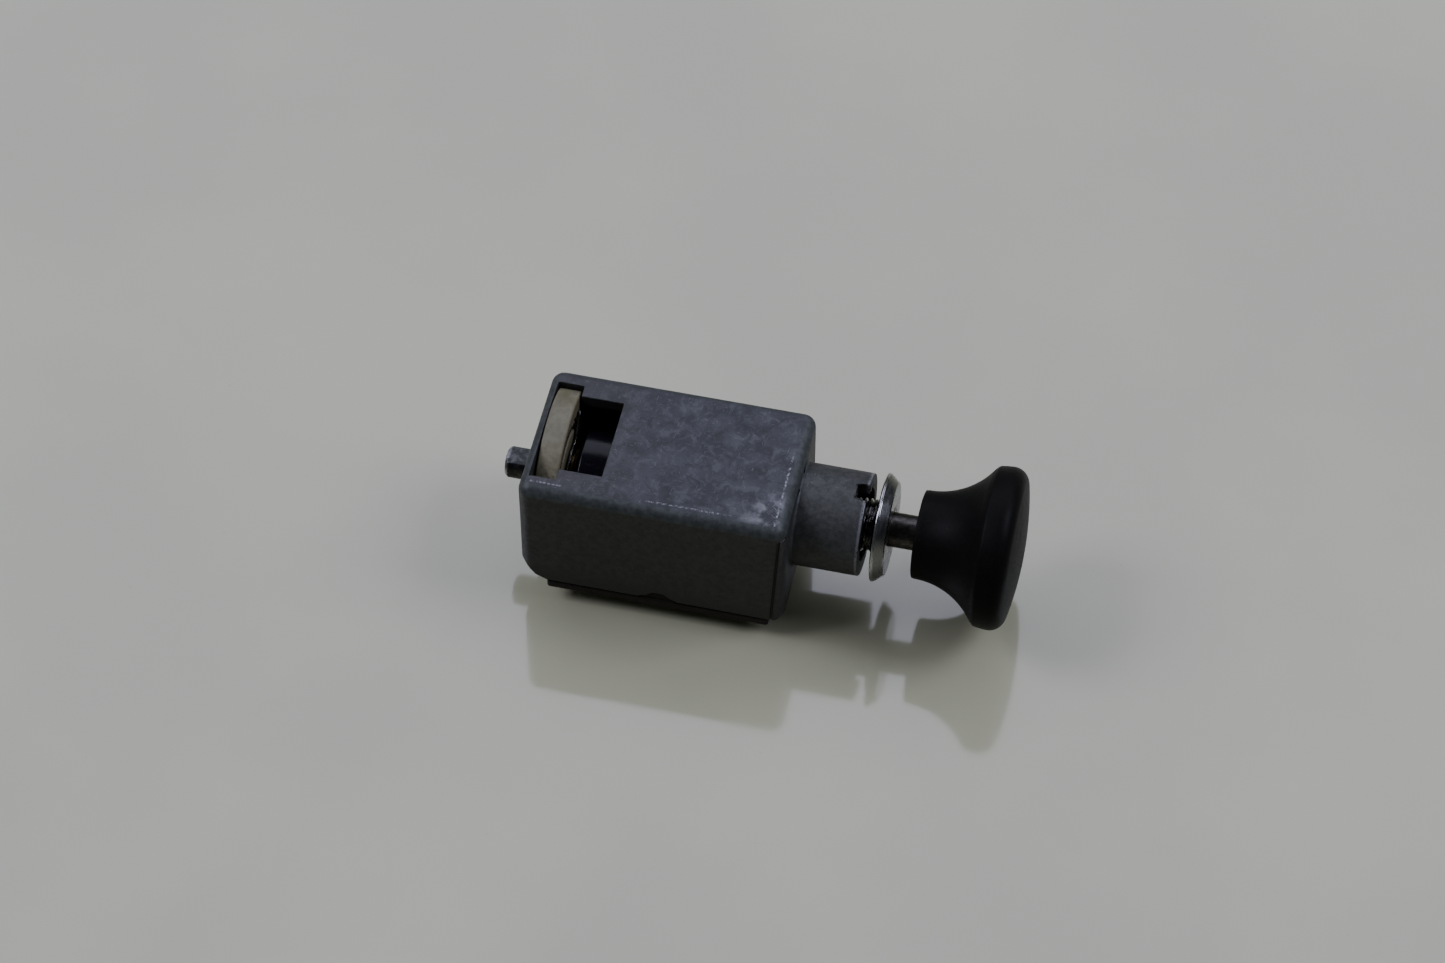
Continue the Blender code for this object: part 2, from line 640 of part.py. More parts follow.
def make_carriage(build):
    recess = DRUM_REAR + CLIP_RECESS
    profile = [
        (recess, ROD_BORE),
        (recess, CLIP_ROOM),
        (DRUM_REAR, CLIP_ROOM),
        (DRUM_REAR, DRUM_RADIUS - DRUM_EDGE),
        (DRUM_REAR + DRUM_EDGE, DRUM_RADIUS),
        (DRUM_FRONT - DRUM_EDGE, DRUM_RADIUS),
        (DRUM_FRONT, DRUM_RADIUS - DRUM_EDGE),
        (DRUM_FRONT, ROD_BORE),
    ]
    carriage = build.piece("contact_carriage", turned(profile, 32), "black_phenolic")
    half_width = CAVITY_HALF_WIDTH - GAP
    sole = block((BLOCK_REAR, -half_width, BLOCK_BOTTOM), (DRUM_FRONT, half_width, BLOCK_TOP))
    build.join(carriage, sole)
    channel_top = BLOCK_BOTTOM + CHANNEL_DEPTH
    bridge_middle = (BRIDGE_REAR_DIMPLE + BRIDGE_FRONT_DIMPLE) / 2
    for side in (-1, 1):
        centre = side * BRIDGE_SIDE
        channel_rear = BRIDGE_REAR_DIMPLE - CHANNEL_ENDS[0]
        channel_front = BRIDGE_FRONT_DIMPLE + CHANNEL_ENDS[1]
        low = (channel_rear, centre - CHANNEL_HALF_WIDTH, BLOCK_BOTTOM - PAST)
        high = (channel_front, centre + CHANNEL_HALF_WIDTH, channel_top)
        spring_hole = [(channel_top - PAST, 0.0), (channel_top - PAST, SPRING_HOLE_RADIUS)]
        spring_hole += [(SPRING_HOLE_TOP, SPRING_HOLE_RADIUS), (SPRING_HOLE_TOP, 0.0)]
        build.cut(carriage, block(low, high), upright(spring_hole, (bridge_middle, centre)))
    ball_hole_radius = BALL_RADIUS + GAP
    ball_hole = [(BALL_HOLE_FLOOR, 0.0), (BALL_HOLE_FLOOR, ball_hole_radius)]
    ball_hole += [(DRUM_RADIUS + PAST, ball_hole_radius), (DRUM_RADIUS + PAST, 0.0)]
    build.cut(carriage, upright(ball_hole, (DETENT_STATION, 0.0)))

    ball_height = HOUSING_TOP - ROOF - GAP - BALL_RADIUS
    ball = [(ball_height - BALL_RADIUS, 0.0)]
    ball += [(ball_height + a, b) for a, b in arc((0.0, 0.0), BALL_RADIUS, 150, 30, 4)]
    ball += [(ball_height + BALL_RADIUS, 0.0)]
    build.piece("detent_ball", upright(ball, (DETENT_STATION, 0.0), 12), "spring_steel")
    spring_room = DETENT_SPRING_WIRE + GAP
    spring_low = BALL_HOLE_FLOOR + spring_room
    spring_high = ball_height - BALL_RADIUS - spring_room
    spring = helix((DETENT_STATION, 0.0), DETENT_SPRING_RADIUS, spring_low, spring_high, 2)
    build.piece("detent_spring", tube(spring, DETENT_SPRING_WIRE), "spring_steel")

    for name, side in (("left", 1), ("right", -1)):
        centre = side * BRIDGE_SIDE
        make_bridge(build, f"contact_bridge_{name}", centre, channel_top)
        spring = helix((bridge_middle, centre), BRIDGE_SPRING_RADIUS, *BRIDGE_SPRING_ENDS, 3)
        build.piece(f"bridge_spring_{name}", tube(spring, BRIDGE_SPRING_WIRE), "spring_steel")


def helix(centre, radius, low, high, turns, steps=8):
    points = []
    for step in range(turns * steps + 1):
        angle = math.tau * step / steps
        height = low + (high - low) * step / (turns * steps)
        points.append((centre[0] + radius * math.cos(angle), centre[1] + radius * math.sin(angle), height))
    return points


def make_bridge(build, name, side, channel_top):
    """A copper strip with a contact dimple under each end."""
    top = channel_top - 0.4 * MM
    bottom = top - BRIDGE_THICKNESS
    low = (BRIDGE_REAR_DIMPLE - BRIDGE_END, side - BRIDGE_HALF_WIDTH, bottom)
    high = (BRIDGE_FRONT_DIMPLE + BRIDGE_END, side + BRIDGE_HALF_WIDTH, top)
    bridge = build.piece(name, block(low, high), "copper")
    dimple_bottom = PLUG_TOP + GAP + CONTACT_THICKNESS + GAP
    for station in (BRIDGE_REAR_DIMPLE, BRIDGE_FRONT_DIMPLE):
        dimple = [
            (dimple_bottom, 0.0),
            (dimple_bottom, DIMPLE_RADII[0]),
            (bottom, DIMPLE_RADII[1]),
            (bottom + GAP, DIMPLE_RADII[1]),
            (bottom + GAP, 0.0),
        ]
        build.join(bridge, upright(dimple, (station, side), 12))


# Terminal base


def make_base(build):
    half_flange = BASE_HALF_WIDTH
    half_plug = CAVITY_HALF_WIDTH - GAP
    lug_top = BITE_TOP - GAP
    low = (BASE_REAR, -half_flange)
    outline = rounded_rectangle(low, (BASE_FRONT, half_flange), BASE_CORNER, 3)
    base = build.piece("terminal_base", extruded(outline, BASE_BOTTOM, FLANGE_TOP, "Z"), "brown_phenolic")
    inside = FLANGE_TOP - GAP
    plug_rear = BASE_REAR + GAP
    plug_front = -FRONT_WALL - GAP - 0.2 * MM
    lug_rear = BITE_REAR + GAP
    lug_front = BITE_FRONT - GAP
    build.join(
        base,
        block((plug_rear, -half_plug, inside), (plug_front, half_plug, PLUG_TOP)),
        block((lug_rear, -half_flange + GAP, inside), (lug_front, half_flange - GAP, lug_top)),
    )
    hole_radius = SCREW_RADIUS + GAP
    for station in SCREW_STATIONS:
        for side in (-SCREW_SIDE, SCREW_SIDE):
            hole = [
                (BASE_BOTTOM - PAST, 0.0),
                (BASE_BOTTOM - PAST, hole_radius),
                (PLUG_TOP + PAST, hole_radius),
                (PLUG_TOP + PAST, 0.0),
            ]
            build.cut(base, upright(hole, (station, side), 12))


def terminal_screw_mesh(build):
    """A slotted cheese-head screw with its shank up, standing on the surface below the switch."""
    bottom = -AXIS_Z
    head_top = BASE_BOTTOM - GAP - WASHER_THICKNESS - GAP
    profile = [
        (bottom, 0.0),
        (bottom, SCREW_HEAD_RADIUS - SCREW_EDGE),
        (bottom + SCREW_EDGE, SCREW_HEAD_RADIUS),
        (head_top, SCREW_HEAD_RADIUS),
        (head_top, SCREW_RADIUS),
        (PLUG_TOP, SCREW_RADIUS),
        (PLUG_TOP, 0.0),
    ]
    screw = build.piece("screw_pattern", upright(profile, (0.0, 0.0), 16), "plated_steel")
    reach = SCREW_HEAD_RADIUS + PAST
    slot_low = (-SCREW_SLOT_HALF_WIDTH, -reach, bottom - PAST)
    slot_high = (SCREW_SLOT_HALF_WIDTH, reach, bottom + SCREW_SLOT_DEPTH)
    build.cut(screw, block(slot_low, slot_high))
    mesh = build.finished_mesh(screw)
    bpy.data.objects.remove(screw, do_unlink=True)
    return mesh


def make_terminals(build):
    """Six terminals, numbered from the rear, the left row first: screw, clamp washer and contact."""
    screw_mesh = terminal_screw_mesh(build)
    washer_low = BASE_BOTTOM - GAP - WASHER_THICKNESS
    washer_high = BASE_BOTTOM - GAP
    washer_inner = SCREW_RADIUS + GAP
    washer = [
        (washer_low, washer_inner),
        (washer_low, WASHER_RADIUS),
        (washer_high, WASHER_RADIUS),
        (washer_high, washer_inner),
    ]
    contact_low = PLUG_TOP + GAP
    number = 0
    for side, contacts in ((SCREW_SIDE, LEFT_CONTACTS), (-SCREW_SIDE, RIGHT_CONTACTS)):
        for station, (rear, front) in zip(SCREW_STATIONS, contacts):
            number += 1
            screw = build.piece(f"terminal_screw_{number}", screw_mesh, "plated_steel")
            screw.location = (station, side, 0.0)
            build.piece(f"clamp_washer_{number}", upright(washer, (station, side)), "plated_steel")
            low = (rear, side - CONTACT_HALF_WIDTH, contact_low)
            high = (front, side + CONTACT_HALF_WIDTH, contact_low + CONTACT_THICKNESS)
            build.piece(f"fixed_contact_{number}", block(low, high), "brass")


def main():
    clear_scene()
    build = Builder()
    make_housing(build)
    make_guide_bush(build)
    make_bezel_nut(build)
    make_pull_shaft(build)
    make_clip(build, "rear_clip", DRUM_REAR)
    make_clip(build, "front_clip", DRUM_FRONT)
    make_knob(build)
    make_rheostat(build)
    make_wiper(build)
    make_carriage(build)
    make_base(build)
    make_terminals(build)


main()
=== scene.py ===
"""Looks for the pull switch with a turn dimmer: finer meshes and worn materials around the CAD frame.

Shapes are modelled in the switch's own frame, in millimetres: x is the distance in front of the
housing's front face, z the height above the shaft's axis. Their main sizes come from the CAD boxes.
"""

import json
import math

import bmesh
import bpy
from mathutils import Matrix, Vector


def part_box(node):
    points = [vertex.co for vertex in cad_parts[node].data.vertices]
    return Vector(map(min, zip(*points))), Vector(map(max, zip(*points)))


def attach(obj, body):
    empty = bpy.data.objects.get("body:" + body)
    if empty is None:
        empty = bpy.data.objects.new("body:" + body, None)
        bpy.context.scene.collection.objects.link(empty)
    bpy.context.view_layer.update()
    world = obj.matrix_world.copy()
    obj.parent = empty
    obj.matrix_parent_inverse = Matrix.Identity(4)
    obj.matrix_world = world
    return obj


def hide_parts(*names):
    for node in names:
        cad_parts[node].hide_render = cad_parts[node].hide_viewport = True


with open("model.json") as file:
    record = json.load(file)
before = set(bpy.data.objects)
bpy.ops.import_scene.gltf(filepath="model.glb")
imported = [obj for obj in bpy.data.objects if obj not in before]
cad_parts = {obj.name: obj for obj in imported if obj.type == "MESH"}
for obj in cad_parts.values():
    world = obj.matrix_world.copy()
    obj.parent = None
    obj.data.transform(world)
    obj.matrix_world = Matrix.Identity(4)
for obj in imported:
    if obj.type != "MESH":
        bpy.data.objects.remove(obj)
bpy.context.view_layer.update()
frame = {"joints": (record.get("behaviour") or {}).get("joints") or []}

MM = 0.001
TURN = math.tau
JOINTS = {joint["name"]: joint for joint in frame["joints"]}
ORIGIN = Vector(JOINTS["knob_turn"]["pos_m"])
TO_WORLD = Matrix.Translation(ORIGIN) @ Matrix.Scale(MM, 4)


def box_of(node):
    """Lowest and highest corner of a CAD node, in the switch's frame."""
    low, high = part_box(node)
    return (low - ORIGIN) / MM, (high - ORIGIN) / MM


# Sizes read from the CAD model

HOUSING_LOW, HOUSING_HIGH = box_of("housing")
REAR = HOUSING_LOW.x
HALF_WIDTH = HOUSING_HIGH.y
RIM = HOUSING_LOW.z
TOP = HOUSING_HIGH.z
BOSS_FRONT = HOUSING_HIGH.x
NUT_LOW, NUT_HIGH = box_of("bezel_nut")
SHAFT_LOW, SHAFT_HIGH = box_of("pull_shaft")
ROD_RADIUS = SHAFT_HIGH.y
KNOB_LOW, KNOB_HIGH = box_of("knob")
CERAMIC_LOW, CERAMIC_HIGH = box_of("rheostat_ceramic")
COIL_LOW, COIL_HIGH = box_of("resistance_coil")
SLEEVE_LOW, SLEEVE_HIGH = box_of("wiper_sleeve")
ARM_LOW, ARM_HIGH = box_of("wiper_arm")
CARRIAGE_LOW, CARRIAGE_HIGH = box_of("contact_carriage")
BASE_LOW, BASE_HIGH = box_of("terminal_base")
SCREW_LOW, SCREW_HIGH = box_of("terminal_screw_1")

# Sizes that the boxes don't hold, in millimetres

GAP = 0.3
PAST = 1.0
EDGE_ROUND = 2.4
# The casting's parting groove: its station at the rim, its station at the top, and the height of that top
PARTING_FOOT = -2.4
PARTING_HEAD = -1.15
PARTING_TOP = 8.9
CAVITY_HALF_WIDTH = 12.5
REAR_WALL = 1.6
FRONT_WALL = 2.5
ROOF = 2.65
REAR_HOLE_RADIUS = 3.25
SLOT_FRONT = -43.6
SLOT_HALF_WIDTH = 11.3
WINDOW_FRONT = -35.5
WINDOW_HALF_WIDTH = 8.8
BOSS_RADIUS = 9.64
BOSS_BORE = 5.35
COUNTERBORE = 7.0
COUNTERBORE_REAR = 8.5
NOTCH_WIDTH = 3.6
NOTCH_DEPTH = 2.2
SHANK_RADIUS = 5.05
THREAD_PITCH = 1.0
THREAD_DEPTH = 0.55
FLANGE_REAR = 14.8
STUB_RADIUS = 2.94
SHOULDER = -41.8
FLAT_HEIGHT = 2.2
GROOVE_RADIUS = 2.5
CLIP_THICKNESS = 0.8
ROD_BORE = ROD_RADIUS + GAP
COIL_RADIUS = 9.6
COIL_ROOM = 1.2
COIL_ANGLES = (60.0, -168.0)
WIPER_ANGLE = 38.0
SLEEVE_RADIUS = 4.3
DRUM_RADIUS = 8.8
DETENT_STATION = -24.0
BALL_RADIUS = 1.2
BRIDGE_SIDE = 8.0
BRIDGE_DIMPLES = (-34.0, -20.0)
BITE = (-27.4, -20.5)
BITE_TOP = -12.6
SCREW_STATIONS = (-38.0, -25.5, -12.5)
SCREW_RADIUS = 1.75
SCREW_HEAD_RADIUS = 3.4


# Outlines: lists of (a, b) points


def arc(centre, radius, start, end, steps):
    """Points on an arc about centre, from the angle start to end in degrees."""
    points = []
    for step in range(steps + 1):
        angle = math.radians(start + (end - start) * step / steps)
        points.append((centre[0] + radius * math.cos(angle), centre[1] + radius * math.sin(angle)))
    return points


def bent(start, middle, end, steps):
    """Points along a quadratic curve, both ends included."""
    points = []
    for step in range(steps + 1):
        t = step / steps
        points.append(tuple(start * (1 - t) ** 2 + middle * 2 * t * (1 - t) + end * t**2))
    return points


def rounded_rectangle(low, high, radius, steps=8):
    corners = (
        (high[0] - radius, high[1] - radius, 0),
        (low[0] + radius, high[1] - radius, 90),
        (low[0] + radius, low[1] + radius, 180),
        (high[0] - radius, low[1] + radius, 270),
    )
    points = []
    for a, b, start in corners:
        points += arc((a, b), radius, start, start + 90, steps)
    return points


def rounded(profile, radius, steps=3):
    """The profile with each corner turned into a curve. A profile that ends on the axis stays open."""
    is_open = profile[0][1] == 0.0
    count = len(profile)
    points = []
    for index in range(count):
        here = Vector(profile[index])
        if is_open and index in (0, count - 1):
            points.append(tuple(here))
            continue
        before = Vector(profile[index - 1]) - here
        after = Vector(profile[(index + 1) % count]) - here
        if before.angle(after) > math.radians(160):
            points.append(tuple(here))
            continue
        reach = min(radius, 0.42 * before.length, 0.42 * after.length)
        first = here + before.normalized() * reach
        last = here + after.normalized() * reach
        for step in range(steps + 1):
            t = step / steps
            point = first * (1 - t) ** 2 + here * 2 * t * (1 - t) + last * t**2
            points.append(tuple(point))
    return points


# Meshes


def turned(profile, segments=96):
    """A solid turned about X from (station, radius) points. A ring's profile is a closed loop."""
    bm = bmesh.new()
    rings = []
    for station, radius in profile:
        if radius == 0.0:
            rings.append([bm.verts.new((station, 0.0, 0.0))])
            continue
        ring = []
        for step in range(segments):
            angle = TURN * step / segments
            ring.append(bm.verts.new((station, radius * math.sin(angle), radius * math.cos(angle))))
        rings.append(ring)
    pairs = list(zip(rings, rings[1:]))
    if profile[0][1] > 0.0:
        pairs.append((rings[-1], rings[0]))
    for first, second in pairs:
        for step in range(segments):
            following = (step + 1) % segments
            corners = [first[step % len(first)], first[following % len(first)]]
            corners += [second[following % len(second)], second[step % len(second)]]
            bm.faces.new(list(dict.fromkeys(corners)))
    return bm


def upright(profile, centre=(0.0, 0.0), segments=48):
    """A solid turned about a vertical axis at centre, from (height, radius) points."""
    bm = turned(profile, segments)
    turn = Matrix.Rotation(math.radians(-90), 4, "Y")
    bmesh.ops.transform(bm, matrix=Matrix.Translation((*centre, 0.0)) @ turn, verts=bm.verts)
    return bm


def extruded(outline, low, high, axis):
    """A prism along X, Y or Z between two stations. The outline's points are the other two axes."""
    place = {
        "X": lambda a, b, along: (along, a, b),
        "Y": lambda a, b, along: (a, along, b),
        "Z": lambda a, b, along: (a, b, along),
    }[axis]
    bm = bmesh.new()
    rings = [[bm.verts.new(place(a, b, along)) for a, b in outline] for along in (low, high)]
    for ring in rings:
        bm.faces.new(ring)
    for index in range(len(outline)):
        following = (index + 1) % len(outline)
        bm.faces.new((rings[0][index], rings[0][following], rings[1][following], rings[1][index]))
    return bm


def block(low, high):
    bm = bmesh.new()
    size = [high[i] - low[i] for i in range(3)]
    middle = [(high[i] + low[i]) / 2 for i in range(3)]
    bmesh.ops.create_cube(bm, size=1.0, matrix=Matrix.Translation(middle) @ Matrix.Diagonal((*size, 1.0)))
    return bm


def tube(path, radius, sides=8):
    """A round wire along a list of points, with flat ends."""
    bm = bmesh.new()
    places = [Vector(point) for point in path]
    side = (places[1] - places[0]).orthogonal().normalized()
    rings = []
    for index, place in enumerate(places):
        before = places[max(index - 1, 0)]
        after = places[min(index + 1, len(places) - 1)]
        along = (after - before).normalized()
        side = (side - along * side.dot(along)).normalized()
        across = along.cross(side)
        ring = []
        for step in range(sides):
            angle = TURN * step / sides
            offset = side * math.cos(angle) + across * math.sin(angle)
            ring.append(bm.verts.new(place + offset * radius))
        rings.append(ring)
    for first, second in zip(rings, rings[1:]):
        for step in range(sides):
            following = (step + 1) % sides
            bm.faces.new((first[step], first[following], second[following], second[step]))
    bm.faces.new(rings[0])
    bm.faces.new(rings[-1])
    return bm


def cut_thread(bm, start, end, radius, pitch, depth, runout=1.0):
    """Presses a helical thread into a turned surface of that radius between two stations."""
    for vert in bm.verts:
        station = vert.co.x
        height = math.hypot(vert.co.y, vert.co.z)
        if not start <= station <= end or abs(height - radius) > 0.01:
            continue
        turn = station / pitch - math.atan2(vert.co.y, vert.co.z) / TURN
        wave = abs(2.0 * (turn - math.floor(turn)) - 1.0)
        fade = min(1.0, (station - start) / runout, (end - station) / runout)
        scale = 1.0 - depth * fade * min(1.0, wave * 1.25) / height
        vert.co.y *= scale
        vert.co.z *= scale


def outward(bm):
    bmesh.ops.recalc_face_normals(bm, faces=bm.faces)
    return bm


def object_from(bm, name):
    mesh = bpy.data.meshes.new(name)
    outward(bm).to_mesh(mesh)
    bm.free()
    made = bpy.data.objects.new(name, mesh)
    bpy.context.collection.objects.link(made)
    return made


def combined(base, steps):
    """A bmesh after Boolean steps, each an (operation, bmesh) pair."""
    target = object_from(base, "target")
    tools = []
    for operation, shape in steps:
        tool = object_from(shape, "tool")
        modifier = target.modifiers.new(operation, "BOOLEAN")
        modifier.operation = operation
        modifier.solver = "EXACT"
        modifier.object = tool
        tools.append(tool)
    bpy.context.view_layer.update()
    mesh = bpy.data.meshes.new_from_object(target.evaluated_get(bpy.context.evaluated_depsgraph_get()))
    bm = bmesh.new()
    bm.from_mesh(mesh)
    for spent in [target, *tools]:
        bpy.data.objects.remove(spent, do_unlink=True)
    bpy.data.meshes.remove(mesh)
    bmesh.ops.remove_doubles(bm, verts=bm.verts, dist=1e-4)
    bmesh.ops.dissolve_degenerate(bm, edges=bm.edges, dist=1e-4)
    return bm


def cut(base, *shapes):
    return combined(base, [("DIFFERENCE", shape) for shape in shapes])


def piece(name, bm, body, material, replaces=None, edge=0.0, edge_at=None, segments=3, sharp=35):
    """A finished piece in metres, riding on a body, with its sharp edges rounded by a bevel.

    edge is the bevel's width; edge_at(middle of the edge) may return a share of it between 0 and 1.
    """
    if edge:
        weight = bm.edges.layers.float.new("bevel_weight_edge")
        for line in bm.edges:
            if len(line.link_faces) == 2 and line.calc_face_angle(0.0) > math.radians(sharp):
                middle = (line.verts[0].co + line.verts[1].co) / 2
                line[weight] = edge_at(middle) if edge_at else 1.0
    bmesh.ops.transform(bm, matrix=TO_WORLD, verts=bm.verts)
    made = object_from(bm, name)
    made.data.shade_smooth()
    if edge:
        bevel = made.modifiers.new("edges", "BEVEL")
        bevel.limit_method = "WEIGHT"
        bevel.width = edge * MM
        bevel.segments = segments
        bevel.use_clamp_overlap = False
    made.data.set_sharp_from_angle(angle=math.radians(40 if not edge else 70))
    weighted = made.modifiers.new("normals", "WEIGHTED_NORMAL")
    weighted.keep_sharp = True
    made.data.materials.append(material)
    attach(made, body)
    if replaces:
        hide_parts(replaces)
    return made


# Materials


class Paint:
    """Builds one procedural material. Places are in the switch's frame, in millimetres."""

    def __init__(self, name, roughness, metallic=0.0):
        self.material = bpy.data.materials.new(name)
        self.material.use_nodes = True
        self.tree = self.material.node_tree
        self.shader = self.tree.nodes["Principled BSDF"]
        self.shader.inputs["Metallic"].default_value = metallic
        self.shader.inputs["Roughness"].default_value = roughness
        coordinates = self.node("ShaderNodeTexCoord")
        self.normal = coordinates.outputs["Normal"]
        scaled = self.node("ShaderNodeVectorMath", operation="MULTIPLY_ADD")
        self.tree.links.new(coordinates.outputs["Object"], scaled.inputs[0])
        scaled.inputs[1].default_value = (1 / MM,) * 3
        scaled.inputs[2].default_value = tuple(-ORIGIN / MM)
        self.place = scaled.outputs[0]
        self.last_bump = None

    def node(self, kind, **settings):
        made = self.tree.nodes.new(kind)
        for key, value in settings.items():
            setattr(made, key, value)
        return made

    def feed(self, socket, value):
        if isinstance(value, bpy.types.NodeSocket):
            self.tree.links.new(value, socket)
        elif isinstance(value, tuple) and len(value) == 3 and socket.type == "RGBA":
            socket.default_value = (*value, 1.0)
        else:
            socket.default_value = value

    def math(self, operation, a, b=0.0):
        made = self.node("ShaderNodeMath", operation=operation)
        self.feed(made.inputs[0], a)
        self.feed(made.inputs[1], b)
        return made.outputs[0]

    def axes(self, vector):
        made = self.node("ShaderNodeSeparateXYZ")
        self.feed(made.inputs[0], vector)
        return made.outputs

    def stretched(self, x, y, z):
        made = self.node("ShaderNodeVectorMath", operation="MULTIPLY")
        self.feed(made.inputs[0], self.place)
        made.inputs[1].default_value = (x, y, z)
        return made.outputs[0]

    def noise(self, scale, detail=4.0, roughness=0.55, place=None, distortion=0.0):
        made = self.node("ShaderNodeTexNoise")
        self.feed(made.inputs["Vector"], place or self.place)
        made.inputs["Scale"].default_value = scale
        made.inputs["Detail"].default_value = detail
        made.inputs["Roughness"].default_value = roughness
        made.inputs["Distortion"].default_value = distortion
        return made.outputs["Fac"]

    def cells(self, scale):
        made = self.node("ShaderNodeTexVoronoi", feature="F1")
        self.feed(made.inputs["Vector"], self.place)
        made.inputs["Scale"].default_value = scale
        return made.outputs["Distance"]

    def between(self, value, low, high, to_low=0.0, to_high=1.0):
        """Maps low..high smoothly to to_low..to_high, clamped."""
        made = self.node("ShaderNodeMapRange", interpolation_type="SMOOTHSTEP")
        for index, item in enumerate((value, low, high, to_low, to_high)):
            self.feed(made.inputs[index], item)
        return made.outputs[0]

    def band(self, value, centre, half_width):
        """1 where value is within half_width of centre, fading out beyond."""
        away = self.math("ABSOLUTE", self.math("SUBTRACT", value, centre))
        return self.between(away, half_width * 0.4, half_width, 1.0, 0.0)

    def mix(self, amount, a, b):
        made = self.node("ShaderNodeMix", data_type="RGBA", blend_type="MIX")
        self.feed(made.inputs["Factor"], amount)
        self.feed(made.inputs[6], a)
        self.feed(made.inputs[7], b)
        return made.outputs[2]

    def all_of(self, *values):
        result = values[0]
        for value in values[1:]:
            result = self.math("MULTIPLY", result, value)
        return result

    def colour(self, value):
        self.feed(self.shader.inputs["Base Color"], value)

    def rough(self, value):
        self.feed(self.shader.inputs["Roughness"], value)

    def bump(self, height, distance):
        """Adds relief whose full height is distance, in millimetres."""
        made = self.node("ShaderNodeBump")
        made.inputs["Strength"].default_value = 1.0
        made.inputs["Distance"].default_value = distance * MM
        self.feed(made.inputs["Height"], height)
        if self.last_bump:
            self.feed(made.inputs["Normal"], self.last_bump)
        self.last_bump = made.outputs[0]
        self.feed(self.shader.inputs["Normal"], self.last_bump)

    def scratches(self, angle, spacing, share):
        """Fine straight scratches in the XY plane at an angle in degrees; share is how many show."""
        turned_place = self.node("ShaderNodeVectorRotate", rotation_type="Z_AXIS")
        self.feed(turned_place.inputs["Vector"], self.place)
        turned_place.inputs["Angle"].default_value = math.radians(angle)
        squeezed = self.node("ShaderNodeVectorMath", operation="MULTIPLY")
        self.feed(squeezed.inputs[0], turned_place.outputs[0])
        squeezed.inputs[1].default_value = (0.09 / spacing, 1.0 / spacing, 0.5 / spacing)
        lines = self.noise(1.0, 2.0, 0.5, squeezed.outputs[0])
        return self.between(lines, 0.72 - share * 0.25, 0.78 - share * 0.25)


